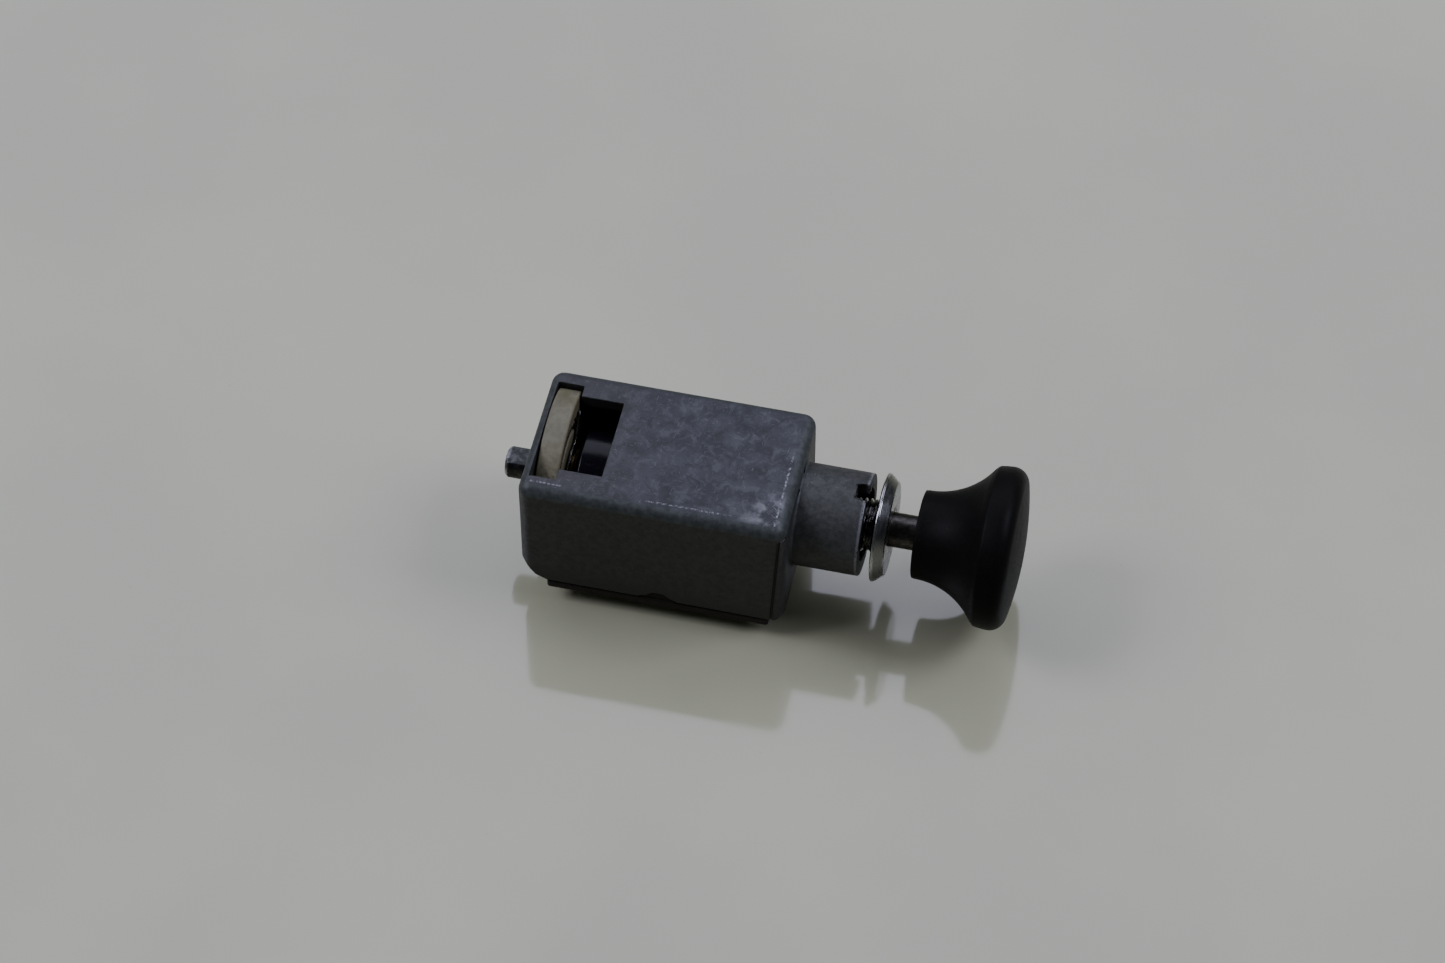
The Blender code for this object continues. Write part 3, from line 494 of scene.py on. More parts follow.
def zinc_casting():
    """Dull die casting: mottled blue-grey roof, walls and the boss's front face darkened with painted shade,
    a groove darkened with painted shade, bright edges partly worn and partly painted highlight, pits.
    """
    p = Paint("zinc_casting", 0.5, 0.3)
    p.shader.inputs["Specular IOR Level"].default_value = 0.35
    x, y, z = p.axes(p.place)
    forward, _, up = p.axes(p.normal)
    clouds = p.noise(0.16, 5.0, 0.6)
    mottle = p.noise(0.9, 5.0, 0.62)
    blotches = p.noise(0.42, 4.0, 0.6, None, 0.8)
    grain = p.noise(6.0, 3.0, 0.6)
    base = p.mix(p.between(clouds, 0.35, 0.68), (0.039, 0.041, 0.046), (0.059, 0.06, 0.07))
    base = p.mix(p.between(blotches, 0.5, 0.66, 0.0, 0.5), base, (0.098, 0.1, 0.112))
    base = p.mix(p.between(blotches, 0.34, 0.46, 0.5, 0.0), base, (0.026, 0.027, 0.028))
    base = p.mix(p.between(x, -22.0, -44.0, 0.0, 0.45), base, (0.05, 0.045, 0.043))
    roof = p.between(up, 0.9, 0.995)
    boss_tone = p.mix(p.between(mottle, 0.35, 0.65), (0.04, 0.042, 0.039), (0.067, 0.069, 0.066))
    base = p.mix(p.between(x, 0.3, 0.8, 0.0, 0.85), base, boss_tone)
    # Painted shade: faces that don't look up are darkened to a dimmer, yellower tone
    shaded_walls = p.all_of(p.between(up, 0.25, 0.02), p.between(x, 0.6, 0.2), 0.85)
    wall_shade_tone = p.mix(p.between(mottle, 0.35, 0.65), (0.026, 0.026, 0.0245), (0.043, 0.042, 0.039))
    base = p.mix(shaded_walls, base, wall_shade_tone)
    # Painted light and shade by facing: the rounded shoulders below the roof get a tone between the roof and
    # the darkened walls
    shoulder_shade_tone = p.mix(p.between(mottle, 0.35, 0.65), (0.042, 0.048, 0.046), (0.072, 0.08, 0.08))
    shoulder = p.all_of(p.between(up, 0.02, 0.2), p.math("SUBTRACT", 1.0, roof), p.between(x, 0.6, 0.2))
    base = p.mix(p.math("MULTIPLY", shoulder, 0.85), base, shoulder_shade_tone)
    # Bright line where the roof turns into its near and front edges: partly worn metal, partly a painted
    # highlight on the rounded edge
    worn = p.noise(1.6, 4.0, 0.65)
    patchy = p.between(p.noise(0.09, 2.0), 0.46, 0.53)
    side_line = p.all_of(p.band(y, EDGE_ROUND - HALF_WIDTH - 0.05, 0.26), patchy, 0.75)
    front_line = p.all_of(p.band(x, -EDGE_ROUND + 0.1, 0.26), p.between(y, 6.0, 0.0))
    high = p.between(z, TOP - 0.5, TOP - 0.1)
    line = p.all_of(p.math("MAXIMUM", side_line, front_line), high, p.between(worn, 0.44, 0.6))
    near_front = p.all_of(p.between(x, -12.0, -3.0), p.between(y, -3.0, -10.0))
    rubbed = p.all_of(p.between(p.noise(0.35, 3.0), 0.45, 0.65), near_front)
    marks = p.math("MAXIMUM", p.scratches(38, 0.22, 0.35), p.scratches(-52, 0.25, 0.3))
    rubbed_marks = p.all_of(marks, p.between(x, -9.0, -4.0), p.between(y, -5.5, -9.5), roof)
    hairlines = p.math("MAXIMUM", p.scratches(8, 0.12, 0.22), p.scratches(97, 0.14, 0.18))
    fine_marks = p.math("MULTIPLY", hairlines, 0.42)
    bright = p.math("MAXIMUM", line, p.math("MULTIPLY", rubbed_marks, 0.8))
    bright = p.math("MAXIMUM", bright, p.all_of(fine_marks, roof))
    boss_edge = p.all_of(p.between(x, BOSS_FRONT - 0.7, BOSS_FRONT - 0.35), p.between(worn, 0.36, 0.5), 0.6)
    shaded_boss_face = p.all_of(p.between(x, 0.3, 0.8), p.between(forward, 0.75, 0.92))
    boss_edge = p.math("MULTIPLY", boss_edge, p.math("SUBTRACT", 1.0, shaded_boss_face))
    bright = p.math("MAXIMUM", bright, boss_edge)
    bright = p.math("MAXIMUM", bright, p.all_of(rubbed, roof, 0.7))
    specks = p.between(p.cells(2.1), 0.16, 0.08)
    sparse = p.between(p.noise(0.5, 2.0), 0.5, 0.6)
    pits = p.math("MULTIPLY", specks, sparse)
    base = p.mix(bright, base, (0.25, 0.255, 0.275))
    # Painted shade: the boss's forward-facing front face is darkened
    base = p.mix(p.math("MULTIPLY", shaded_boss_face, 0.8), base, (0.016, 0.017, 0.016))
    base = p.mix(p.math("MULTIPLY", pits, 0.75), base, (0.015, 0.015, 0.015))
    # Painted shade darkening the parting groove, which leans forwards as it rises
    slope = (PARTING_HEAD - PARTING_FOOT) / (PARTING_TOP - RIM)
    lean = p.math("SUBTRACT", x, p.math("MULTIPLY", p.math("SUBTRACT", z, RIM), slope))
    outer = p.between(p.math("ABSOLUTE", y), HALF_WIDTH - 2.0, HALF_WIDTH - 1.6)
    below_top = p.between(z, PARTING_TOP + 0.4, PARTING_TOP)
    groove_shade = p.all_of(p.band(lean, PARTING_FOOT, 0.42), below_top, outer, 0.85)
    base = p.mix(groove_shade, base, (0.008, 0.008, 0.007))
    # Darker towards the bottom rim, in mottled patches
    darker_near_rim = p.all_of(p.between(z, RIM + 6.0, RIM, 0.0, 0.6), p.between(mottle, 0.35, 0.6))
    base = p.mix(darker_near_rim, base, (0.025, 0.024, 0.02))
    p.colour(base)
    roughness = p.between(grain, 0.3, 0.7, 0.46, 0.6)
    p.rough(p.mix(bright, roughness, (0.32, 0.32, 0.32)))
    p.bump(grain, 0.02)
    p.bump(mottle, 0.08)
    p.bump(pits, -0.06)
    p.bump(rubbed_marks, -0.05)
    return p.material


def bright_chrome():
    """Dulled chrome plate: brighter rim, darker thread, a front cone darkened as a painted dark reflection,
    streaks and fine dirt.
    """
    p = Paint("bright_chrome", 0.1, 1.0)
    x = p.axes(p.place)[0]
    streaks = p.noise(1.0, 4.0, 0.6, p.stretched(2.2, 0.5, 0.5))
    spots = p.between(p.noise(1.3, 5.0, 0.7), 0.56, 0.7)
    # Painted reflection: the front cone is darkened as if mirroring dark surroundings
    front = p.between(x, FLANGE_REAR + 0.55, FLANGE_REAR + 0.8)
    base = p.mix(p.between(streaks, 0.4, 0.65), (0.34, 0.34, 0.345), (0.5, 0.5, 0.51))
    base = p.mix(p.math("MULTIPLY", spots, 0.5), base, (0.32, 0.29, 0.25))
    base = p.mix(p.math("MULTIPLY", front, 0.8), base, (0.17, 0.175, 0.175))
    shank = p.between(x, FLANGE_REAR + 0.05, FLANGE_REAR - 0.25)
    p.colour(p.mix(p.math("MULTIPLY", shank, 0.75), base, (0.1, 0.095, 0.09)))
    satin = p.between(streaks, 0.3, 0.7, 0.2, 0.3)
    polished = p.between(streaks, 0.3, 0.7, 0.12, 0.22)
    p.rough(p.mix(front, polished, satin))
    p.bump(streaks, 0.01)
    p.bump(p.noise(9.0, 2.0), 0.003)
    return p.material


def metal(name, dark, light, roughness, scale=0.7, stretch=(1.0, 1.0, 1.0), stain=None, relief=0.015):
    """A metal with cloudy colour, drawn or turned streaks, rough patches and small stains."""
    p = Paint(name, roughness, 1.0)
    clouds = p.noise(scale, 5.0, 0.6)
    streaks = p.noise(scale * 4.0, 4.0, 0.6, p.stretched(*stretch))
    base = p.mix(p.between(clouds, 0.35, 0.65), dark, light)
    base = p.mix(p.between(streaks, 0.4, 0.7, 0.0, 0.35), base, tuple(c * 0.6 for c in dark))
    if stain:
        spots = p.between(p.noise(scale * 1.7, 5.0, 0.7), 0.54, 0.66)
        base = p.mix(p.math("MULTIPLY", spots, 0.6), base, stain)
    p.colour(base)
    p.rough(p.between(streaks, 0.3, 0.7, roughness * 0.75, roughness * 1.35))
    p.bump(streaks, relief)
    p.bump(clouds, relief * 1.5)
    return p.material


def rod_steel():
    """Blackened steel with brown stains, rubbed to bare grey at its rear end."""
    p = Paint("rod_steel", 0.34, 1.0)
    x = p.axes(p.place)[0]
    clouds = p.noise(0.8, 5.0, 0.6)
    streaks = p.noise(3.2, 4.0, 0.6, p.stretched(0.4, 2.0, 2.0))
    base = p.mix(p.between(clouds, 0.35, 0.65), (0.06, 0.056, 0.053), (0.11, 0.103, 0.096))
    spots = p.between(p.noise(1.4, 5.0, 0.7), 0.54, 0.66)
    base = p.mix(p.math("MULTIPLY", spots, 0.5), base, (0.045, 0.03, 0.02))
    bare = p.between(x, -46.0, -50.0)
    grey = p.mix(p.between(clouds, 0.4, 0.62), (0.04, 0.04, 0.041), (0.085, 0.085, 0.086))
    base = p.mix(bare, base, grey)
    worn = p.all_of(p.between(x, SHAFT_LOW.x + 0.9, SHAFT_LOW.x + 0.4), p.between(clouds, 0.35, 0.55))
    base = p.mix(worn, base, (0.2, 0.2, 0.2))
    base = p.mix(p.between(streaks, 0.45, 0.7, 0.0, 0.5), base, (0.03, 0.028, 0.026))
    p.colour(base)
    p.rough(p.between(streaks, 0.3, 0.7, 0.26, 0.46))
    p.bump(streaks, 0.015)
    p.bump(clouds, 0.025)
    return p.material


def ceramic():
    """Unglazed cream ceramic, yellowed, with smudges near its ends and a fine tooth; a painted lighter
    middle, and painted shade lower down and towards the near end.
    """
    p = Paint("ceramic", 0.6)
    x, y, z = p.axes(p.place)
    clouds = p.noise(0.22, 5.0, 0.6)
    tooth = p.noise(5.0, 4.0, 0.6)
    base = p.mix(p.between(clouds, 0.35, 0.65), (0.115, 0.107, 0.06), (0.172, 0.16, 0.1))
    # Painted light: the middle of the arched top is made lighter
    middle = p.between(p.math("ABSOLUTE", p.math("SUBTRACT", y, 1.5)), 7.5, 2.0)
    base = p.mix(p.math("MULTIPLY", middle, 0.4), base, (0.165, 0.158, 0.112))
    # Speckled dirt all over, with painted shade making it heavier towards the near end
    near = p.between(y, -5.0, -10.5)
    amount = p.math("ADD", p.math("MULTIPLY", near, 0.65), 0.2)
    dirt = p.all_of(p.between(p.noise(0.8, 5.0, 0.65), 0.4, 0.62), amount)
    base = p.mix(dirt, base, (0.04, 0.03, 0.016))
    smear_place = p.stretched(1.5, 0.25, 0.25)
    smears = p.all_of(p.between(p.noise(0.9, 3.0, 0.5, smear_place), 0.55, 0.62), p.between(y, 4.0, 7.5))
    base = p.mix(p.math("MULTIPLY", smears, 0.55), base, (0.08, 0.076, 0.065))
    rim = p.between(x, CERAMIC_HIGH.x - 0.5, CERAMIC_HIGH.x - 0.1)
    base = p.mix(p.math("MULTIPLY", rim, 0.6), base, (0.09, 0.072, 0.035))
    # Painted shade: the lower, deeper parts of the top are darkened
    deep_shade = p.between(z, 8.5, 4.0)
    base = p.mix(p.math("MULTIPLY", deep_shade, 0.5), base, (0.06, 0.052, 0.03))
    p.colour(base)
    p.rough(p.between(tooth, 0.3, 0.7, 0.5, 0.72))
    p.bump(tooth, 0.03)
    p.bump(clouds, 0.15)
    return p.material


def moulded(name, dark, light, roughness, wear, dust, specular, relief=0.02):
    """Moulded phenolic: slow waviness, fine grain, faint scuffs and a little dust."""
    p = Paint(name, roughness)
    p.shader.inputs["Specular IOR Level"].default_value = specular
    waves = p.noise(0.12, 3.0, 0.5)
    grain = p.noise(4.0, 5.0, 0.65)
    scuffs = p.between(p.noise(1.2, 5.0, 0.7, p.stretched(0.35, 1.0, 1.0), 0.6), 0.58, 0.72)
    powder = p.between(p.noise(12.0, 2.0), 0.62, 0.72)
    base = p.mix(p.between(grain, 0.35, 0.7), dark, light)
    base = p.mix(p.math("MULTIPLY", scuffs, 0.35), base, wear)
    base = p.mix(p.math("MULTIPLY", powder, dust), base, tuple(c * 2.2 for c in wear))
    p.colour(base)
    clean = p.between(grain, 0.3, 0.7, roughness * 0.8, roughness * 1.2)
    p.rough(p.mix(scuffs, clean, (roughness * 1.5,) * 3))
    p.bump(waves, 0.25)
    p.bump(grain, relief)
    return p.material


def table_top():
    """Pale lacquered table with faint specks and soft smears."""
    p = Paint("table_top", 0.1)
    clouds = p.noise(0.012, 4.0, 0.5)
    specks = p.between(p.cells(0.11), 0.03, 0.015)
    base = p.mix(p.between(clouds, 0.35, 0.65), (0.37, 0.37, 0.255), (0.42, 0.42, 0.29))
    base = p.mix(p.math("MULTIPLY", specks, 0.4), base, (0.3, 0.25, 0.18))
    p.colour(base)
    p.rough(p.between(p.noise(0.05, 3.0), 0.3, 0.7, 0.07, 0.11))
    p.shader.inputs["IOR"].default_value = 1.9
    p.bump(p.noise(0.6, 3.0), 0.004)
    return p.material


ZINC = zinc_casting()
CHROME = bright_chrome()
ROD_STEEL = rod_steel()
SPRING_STEEL = metal("spring_steel", (0.42, 0.42, 0.43), (0.62, 0.61, 0.6), 0.28, 1.0)
WIPER_STEEL = metal("wiper_steel", (0.07, 0.073, 0.066), (0.19, 0.195, 0.18), 0.25, 1.0)
BRASS = metal(
    "brass", (0.42, 0.28, 0.11), (0.68, 0.5, 0.24), 0.32, 0.6,
    stretch=(2.0, 0.4, 0.4), stain=(0.16, 0.1, 0.05),
)
STAINED_BRASS = metal(
    "stained_brass", (0.1, 0.07, 0.033), (0.22, 0.155, 0.075), 0.4, 0.8, stain=(0.05, 0.033, 0.02)
)
COPPER = metal(
    "copper", (0.4, 0.19, 0.11), (0.66, 0.35, 0.22), 0.34, 0.6,
    stretch=(0.4, 2.0, 2.0), stain=(0.12, 0.07, 0.05),
)
WIRE = metal("resistance_wire", (0.16, 0.13, 0.1), (0.36, 0.31, 0.25), 0.42, 1.4)
PLATED = metal("plated_steel", (0.42, 0.4, 0.34), (0.66, 0.64, 0.56), 0.34, 0.5, stain=(0.2, 0.15, 0.09))
CERAMIC = ceramic()
BAKELITE = moulded(
    "knob_bakelite",
    dark=(0.0045, 0.0043, 0.0041),
    light=(0.0075, 0.0072, 0.0068),
    roughness=0.45,
    wear=(0.012, 0.012, 0.011),
    dust=0.2,
    specular=0.05,
)
PHENOLIC = moulded(
    "carriage_phenolic",
    dark=(0.002, 0.0018, 0.003),
    light=(0.0035, 0.003, 0.006),
    roughness=0.2,
    relief=0.01,
    wear=(0.014, 0.014, 0.018),
    dust=0.1,
    specular=0.25,
)
BROWN_PHENOLIC = moulded(
    "base_phenolic",
    dark=(0.006, 0.0045, 0.003),
    light=(0.016, 0.011, 0.007),
    roughness=0.55,
    relief=0.08,
    wear=(0.03, 0.022, 0.014),
    dust=0.2,
    specular=0.2,
)


# Housing


def housing_block():
    """The outer block, with every upright edge and every upper edge round."""
    bm = block((REAR, -HALF_WIDTH, RIM), (0.0, HALF_WIDTH, TOP))
    round_edges = [edge for edge in bm.edges if edge.verts[0].co.z + edge.verts[1].co.z > RIM]
    bmesh.ops.bevel(bm, geom=round_edges, offset=EDGE_ROUND, segments=10, profile=0.5, affect="EDGES")
    return bm


def lower_corner_cutters(half_width):
    """Takes the chamfer, with a small ledge above it, off the lower rear corner; rounds the front one."""
    rear = [
        (REAR - PAST, RIM - PAST),
        (BASE_LOW.x + PAST, RIM - PAST),
        (BASE_LOW.x, RIM),
        (REAR + 2.9, RIM + 1.1),
        (REAR + 0.7, RIM + 4.15),
        (REAR - PAST, RIM + 4.45),
    ]
    radius = 2.0
    front = arc((-radius, RIM + radius), radius, 270, 360, 8)
    front += [(PAST, RIM + radius), (PAST, RIM - PAST), (-radius, RIM - PAST)]
    return [extruded(outline, -half_width, half_width, "Y") for outline in (rear, front)]


def bite_outline(inset):
    """Side view of the round-shouldered bite over the staking lug, drawn in by inset."""
    rear, front = BITE[0] + inset, BITE[1] - inset
    top = BITE_TOP - inset
    outline = [(rear, RIM - PAST), (front, RIM - PAST), (front, RIM + 0.15), (front - 1.0, RIM + 0.75)]
    outline += arc((front - 2.6, top - 0.55), 0.55, 60, 90, 4)
    outline += arc((rear + 2.8, top - 0.45), 0.45, 90, 130, 4)
    outline += [(rear + 1.2, RIM + 0.7), (rear, RIM + 0.2)]
    return outline


def parting_groove(side):
    """A fine groove down the side near the front, turning forwards at its top."""
    radius = 0.27
    corner = Vector((-EDGE_ROUND, HALF_WIDTH - EDGE_ROUND))

    def on_surface(x, z):
        reach = math.sqrt(max(EDGE_ROUND**2 - max(x - corner.x, 0.0) ** 2, 0.0))
        return (x, side * (corner.y + reach), z)

    path = [on_surface(PARTING_FOOT, RIM - PAST)]
    for step in range(1, 7):
        share = step / 6
        station = PARTING_FOOT + (PARTING_HEAD - PARTING_FOOT) * share
        path.append(on_surface(station, RIM + (PARTING_TOP - RIM) * share))
    for step in range(1, 5):
        path.append(on_surface(PARTING_HEAD + (-0.12 - PARTING_HEAD) * step / 4, PARTING_TOP + 0.05 * step))
    return tube(path, radius, 8)


def make_housing():
    side = HALF_WIDTH + PAST
    notch_rear = BOSS_FRONT - NOTCH_DEPTH
    boss = [(-FRONT_WALL / 2, 0.0), (-FRONT_WALL / 2, BOSS_RADIUS), (0.5, BOSS_RADIUS)]
    boss += [(notch_rear - 0.4, BOSS_RADIUS), (BOSS_FRONT, BOSS_RADIUS), (BOSS_FRONT, 0.0)]
    bore = [
        (-FRONT_WALL - PAST, 0.0),
        (-FRONT_WALL - PAST, BOSS_BORE),
        (COUNTERBORE_REAR, BOSS_BORE),
        (COUNTERBORE_REAR, COUNTERBORE),
        (BOSS_FRONT + PAST, COUNTERBORE),
        (BOSS_FRONT + PAST, 0.0),
    ]
    inner_rear = REAR + REAR_WALL
    rear_hole = [
        (REAR - PAST, 0.0),
        (REAR - PAST, REAR_HOLE_RADIUS),
        (inner_rear + PAST, REAR_HOLE_RADIUS),
        (inner_rear + PAST, 0.0),
    ]
    inside = TOP - ROOF - PAST
    notch_low = (notch_rear, -NOTCH_WIDTH / 2, COUNTERBORE - PAST)
    cutters = [
        *lower_corner_cutters(side),
        block((inner_rear, -CAVITY_HALF_WIDTH, RIM - PAST), (-FRONT_WALL, CAVITY_HALF_WIDTH, TOP - ROOF)),
        turned(bore),
        turned(rear_hole, 64),
        block((inner_rear, -SLOT_HALF_WIDTH, inside), (SLOT_FRONT, SLOT_HALF_WIDTH, TOP + PAST)),
        block((SLOT_FRONT - PAST, -WINDOW_HALF_WIDTH, inside), (WINDOW_FRONT, WINDOW_HALF_WIDTH, TOP + PAST)),
        block(notch_low, (BOSS_FRONT + PAST, NOTCH_WIDTH / 2, BOSS_RADIUS + PAST)),
        extruded(bite_outline(0.0), -side, side, "Y"),
        parting_groove(1),
        parting_groove(-1),
    ]
    steps = [("UNION", turned(boss))] + [("DIFFERENCE", cutter) for cutter in cutters]
    bm = combined(housing_block(), steps)

    def edge_at(middle):
        # Widest where the boss meets the front face, none where the parting groove is cut
        if abs(middle.x) < 0.05 and math.hypot(middle.y, middle.z) < BOSS_RADIUS + 0.1:
            return 1.0
        if abs(middle.y) > HALF_WIDTH - 2.6 and -3.0 < middle.x < -0.05:
            return 0.0
        return 0.45

    piece("housing_casting", bm, "housing", ZINC, "housing", 0.4, edge_at, 3)


# Turned pieces on the shaft's axis


def make_bezel_nut():
    start = NUT_LOW.x
    rim_radius = NUT_HIGH.z
    front_radius = rim_radius - 1.35
    shank = [(start, SHANK_RADIUS - 0.5)]
    count = int((FLANGE_REAR - start) / 0.1)
    for step in range(count + 1):
        station = start + 0.5 + (FLANGE_REAR - 0.25 - start - 0.5) * step / count
        shank.append((station, SHANK_RADIUS))
    flange = [(FLANGE_REAR - 0.08, SHANK_RADIUS + 0.04), (FLANGE_REAR, SHANK_RADIUS + 0.25)]
    flange += [(FLANGE_REAR, rim_radius - 0.4), (FLANGE_REAR + 0.12, rim_radius - 0.12)]
    flange += arc((FLANGE_REAR + 0.35, rim_radius - 0.22), 0.22, 120, 20, 5)
    flange += [(FLANGE_REAR + 0.72, rim_radius - 0.16)]
    cone = arc((NUT_HIGH.x - 0.55, front_radius - 0.5), 0.55, 60, 0, 6)
    face = [(NUT_HIGH.x, ROD_BORE + 1.2), (NUT_HIGH.x - 0.3, ROD_BORE + 0.5)]
    bore = [(NUT_HIGH.x - 0.7, ROD_BORE), (start, ROD_BORE)]
    bm = turned(shank + flange + cone + face + bore, 128)
    cut_thread(bm, start + 0.5, FLANGE_REAR - 0.3, SHANK_RADIUS, THREAD_PITCH, THREAD_DEPTH)
    piece("bezel_nut_chromed", bm, "housing", CHROME, "bezel_nut")


def make_guide_bush():
    low, high = box_of("guide_bush")
    profile = [
        (low.x, ROD_BORE),
        (low.x, high.z),
        (low.x + 0.8, high.z),
        (low.x + 0.8, SHANK_RADIUS),
        (high.x, SHANK_RADIUS),
        (high.x, ROD_BORE),
    ]
    piece("guide_bush_turned", turned(rounded(profile, 0.25), 72), "housing", BRASS, "guide_bush")


def make_pull_shaft():
    width = CLIP_THICKNESS + 0.4
    rear = SHAFT_LOW.x + 0.03
    front = SHAFT_HIGH.x
    profile = [(rear, 0.0), (rear, STUB_RADIUS - 0.6), (rear + 0.6, STUB_RADIUS)]
    profile += [(SHOULDER, STUB_RADIUS), (SHOULDER, ROD_RADIUS)]
    for start in (CARRIAGE_LOW.x + 0.1, CARRIAGE_HIGH.x + 0.1):
        end = start + width
        profile += [(start, ROD_RADIUS), (start, GROOVE_RADIUS), (end, GROOVE_RADIUS), (end, ROD_RADIUS)]
    profile += [(front - 0.6, ROD_RADIUS), (front, ROD_RADIUS - 0.6), (front, 0.0)]
    flat_low = (rear - PAST, -STUB_RADIUS - PAST, FLAT_HEIGHT)
    flat_high = (SHOULDER - PAST / 4, STUB_RADIUS + PAST, STUB_RADIUS + PAST)
    bm = cut(turned(rounded(profile, 0.2), 72), block(flat_low, flat_high))
    piece("pull_rod", bm, "shaft", ROD_STEEL, "pull_shaft", 0.08, None, 2, 30)


def make_clips():
    for name, start in (("rear_clip", CARRIAGE_LOW.x + 0.3), ("front_clip", CARRIAGE_HIGH.x + 0.3)):
        outer = box_of(name)[1].y
        outline = arc((0.0, 0.0), outer, -50, 230, 48) + arc((0.0, 0.0), GROOVE_RADIUS + GAP, 230, -50, 48)
        bm = extruded(outline, start, start + CLIP_THICKNESS, "X")
        piece(f"{name}_ring", bm, "shaft", SPRING_STEEL, name, 0.15)


def knob_profile():
    """Half of the knob's side view, from its rear face round to the axis at the front."""
    neck = 8.3
    radius = KNOB_HIGH.z
    rear = KNOB_LOW.x
    front = KNOB_HIGH.x
    flare_radius = 14.0
    flare = arc((rear + 0.6, neck + flare_radius), flare_radius, 270, 325, 28)
    rim_round = 3.0
    rim = arc((front - 4.3, radius - rim_round), rim_round, 90, 12, 16)
    last = Vector(flare[-1])
    corner = last + Vector((0.75, 0.72))
    first_rim = Vector(rim[0])
    before = corner + (last - corner).normalized() * 0.35
    after = corner + (first_rim - corner).normalized() * 0.35
    back = bent(before, corner, after, 6)
    back += bent(after, Vector(((after.x + first_rim.x) / 2, radius - 0.03)), first_rim, 6)[1:-1]
    shoulder = Vector(rim[-1])
    dome = bent(shoulder, Vector((front - 0.12, shoulder.y * 0.55)), Vector((front, 0.0)), 16)[1:-1]
    return [(rear, neck - 0.35), (rear + 0.1, neck - 0.1)] + flare + back + rim + dome + [(front, 0.0)]


def make_knob():
    bore_end = SHAFT_HIGH.x + 1.2
    bore = 5.0 + GAP
    profile = [(bore_end, 0.0), (bore_end, bore), (KNOB_LOW.x + 0.3, bore), (KNOB_LOW.x, bore + 0.3)]
    piece("knob_moulding", turned(profile + knob_profile(), 144), "shaft", BAKELITE, "knob")
    low, high = box_of("knob_insert")
    sleeve = [(low.x, ROD_BORE), (low.x, high.z), (high.x, high.z), (high.x, ROD_BORE)]
    piece("knob_insert_turned", turned(rounded(sleeve, 0.3), 72), "shaft", BRASS, "knob_insert")


# Rheostat


def make_rheostat():
    half_width = CERAMIC_HIGH.y
    arc_radius = 16.5
    arc_side = 3.0
    start = math.degrees(math.acos((half_width - arc_side) / arc_radius))
    end = 180 - math.degrees(math.acos((half_width + arc_side) / arc_radius))
    top = arc((arc_side, CERAMIC_HIGH.z - arc_radius), arc_radius, start, end, 40)
    outline = [(-half_width, CERAMIC_LOW.z), (half_width, CERAMIC_LOW.z)] + top
    hole_radius = SLEEVE_RADIUS + GAP
    recess = CERAMIC_LOW.x + 1.5
    recess_radius = 6.2
    hole = [
        (CERAMIC_LOW.x - PAST, 0.0),
        (CERAMIC_LOW.x - PAST, recess_radius),
        (recess, recess_radius),
        (recess, hole_radius),
        (CERAMIC_HIGH.x + PAST, hole_radius),
        (CERAMIC_HIGH.x + PAST, 0.0),
    ]
    groove_rear = CERAMIC_HIGH.x - 2.2
    groove = [
        (groove_rear, COIL_RADIUS - COIL_ROOM),
        (groove_rear, COIL_RADIUS + COIL_ROOM),
        (CERAMIC_HIGH.x + PAST, COIL_RADIUS + COIL_ROOM),
        (CERAMIC_HIGH.x + PAST, COIL_RADIUS - COIL_ROOM),
    ]
    body = extruded(outline, CERAMIC_LOW.x, CERAMIC_HIGH.x, "X")
    bm = cut(body, turned(hole, 72), turned(groove, 128))
    piece("ceramic_body", bm, "housing", CERAMIC, "rheostat_ceramic", 0.28)

    wire = 0.13
    winding = (COIL_HIGH.x - COIL_LOW.x) / 2 - wire
    station = (COIL_HIGH.x + COIL_LOW.x) / 2
    start, end = (math.radians(angle) for angle in COIL_ANGLES)
    turns = 88
    steps = 14
    path = []
    for step in range(turns * steps + 1):
        share = step / (turns * steps)
        angle = start + (end - start) * share
        around = TURN * share * turns
        radius = COIL_RADIUS + winding * math.cos(around)
        along = station + winding * math.sin(around)
        path.append((along, radius * math.sin(angle), radius * math.cos(angle)))
    piece("winding", tube(path, wire, 6), "housing", WIRE, "resistance_coil")


def make_lead():
    """A copper tab beside the winding's end that turns forwards into a strip on the base."""
    low, high = box_of("rheostat_lead")
    thickness = 0.3
    tab_inner = high.y
    tab_outer = tab_inner - 1.2
    tab = block((low.x, tab_outer, low.z), (low.x + thickness, tab_inner, high.z))
    strip = block((low.x, low.y, low.z), (high.x, tab_inner, low.z + thickness))
    bm = combined(tab, [("UNION", strip)])
    piece("lead_strip", bm, "housing", COPPER, "rheostat_lead", 0.08, None, 2)


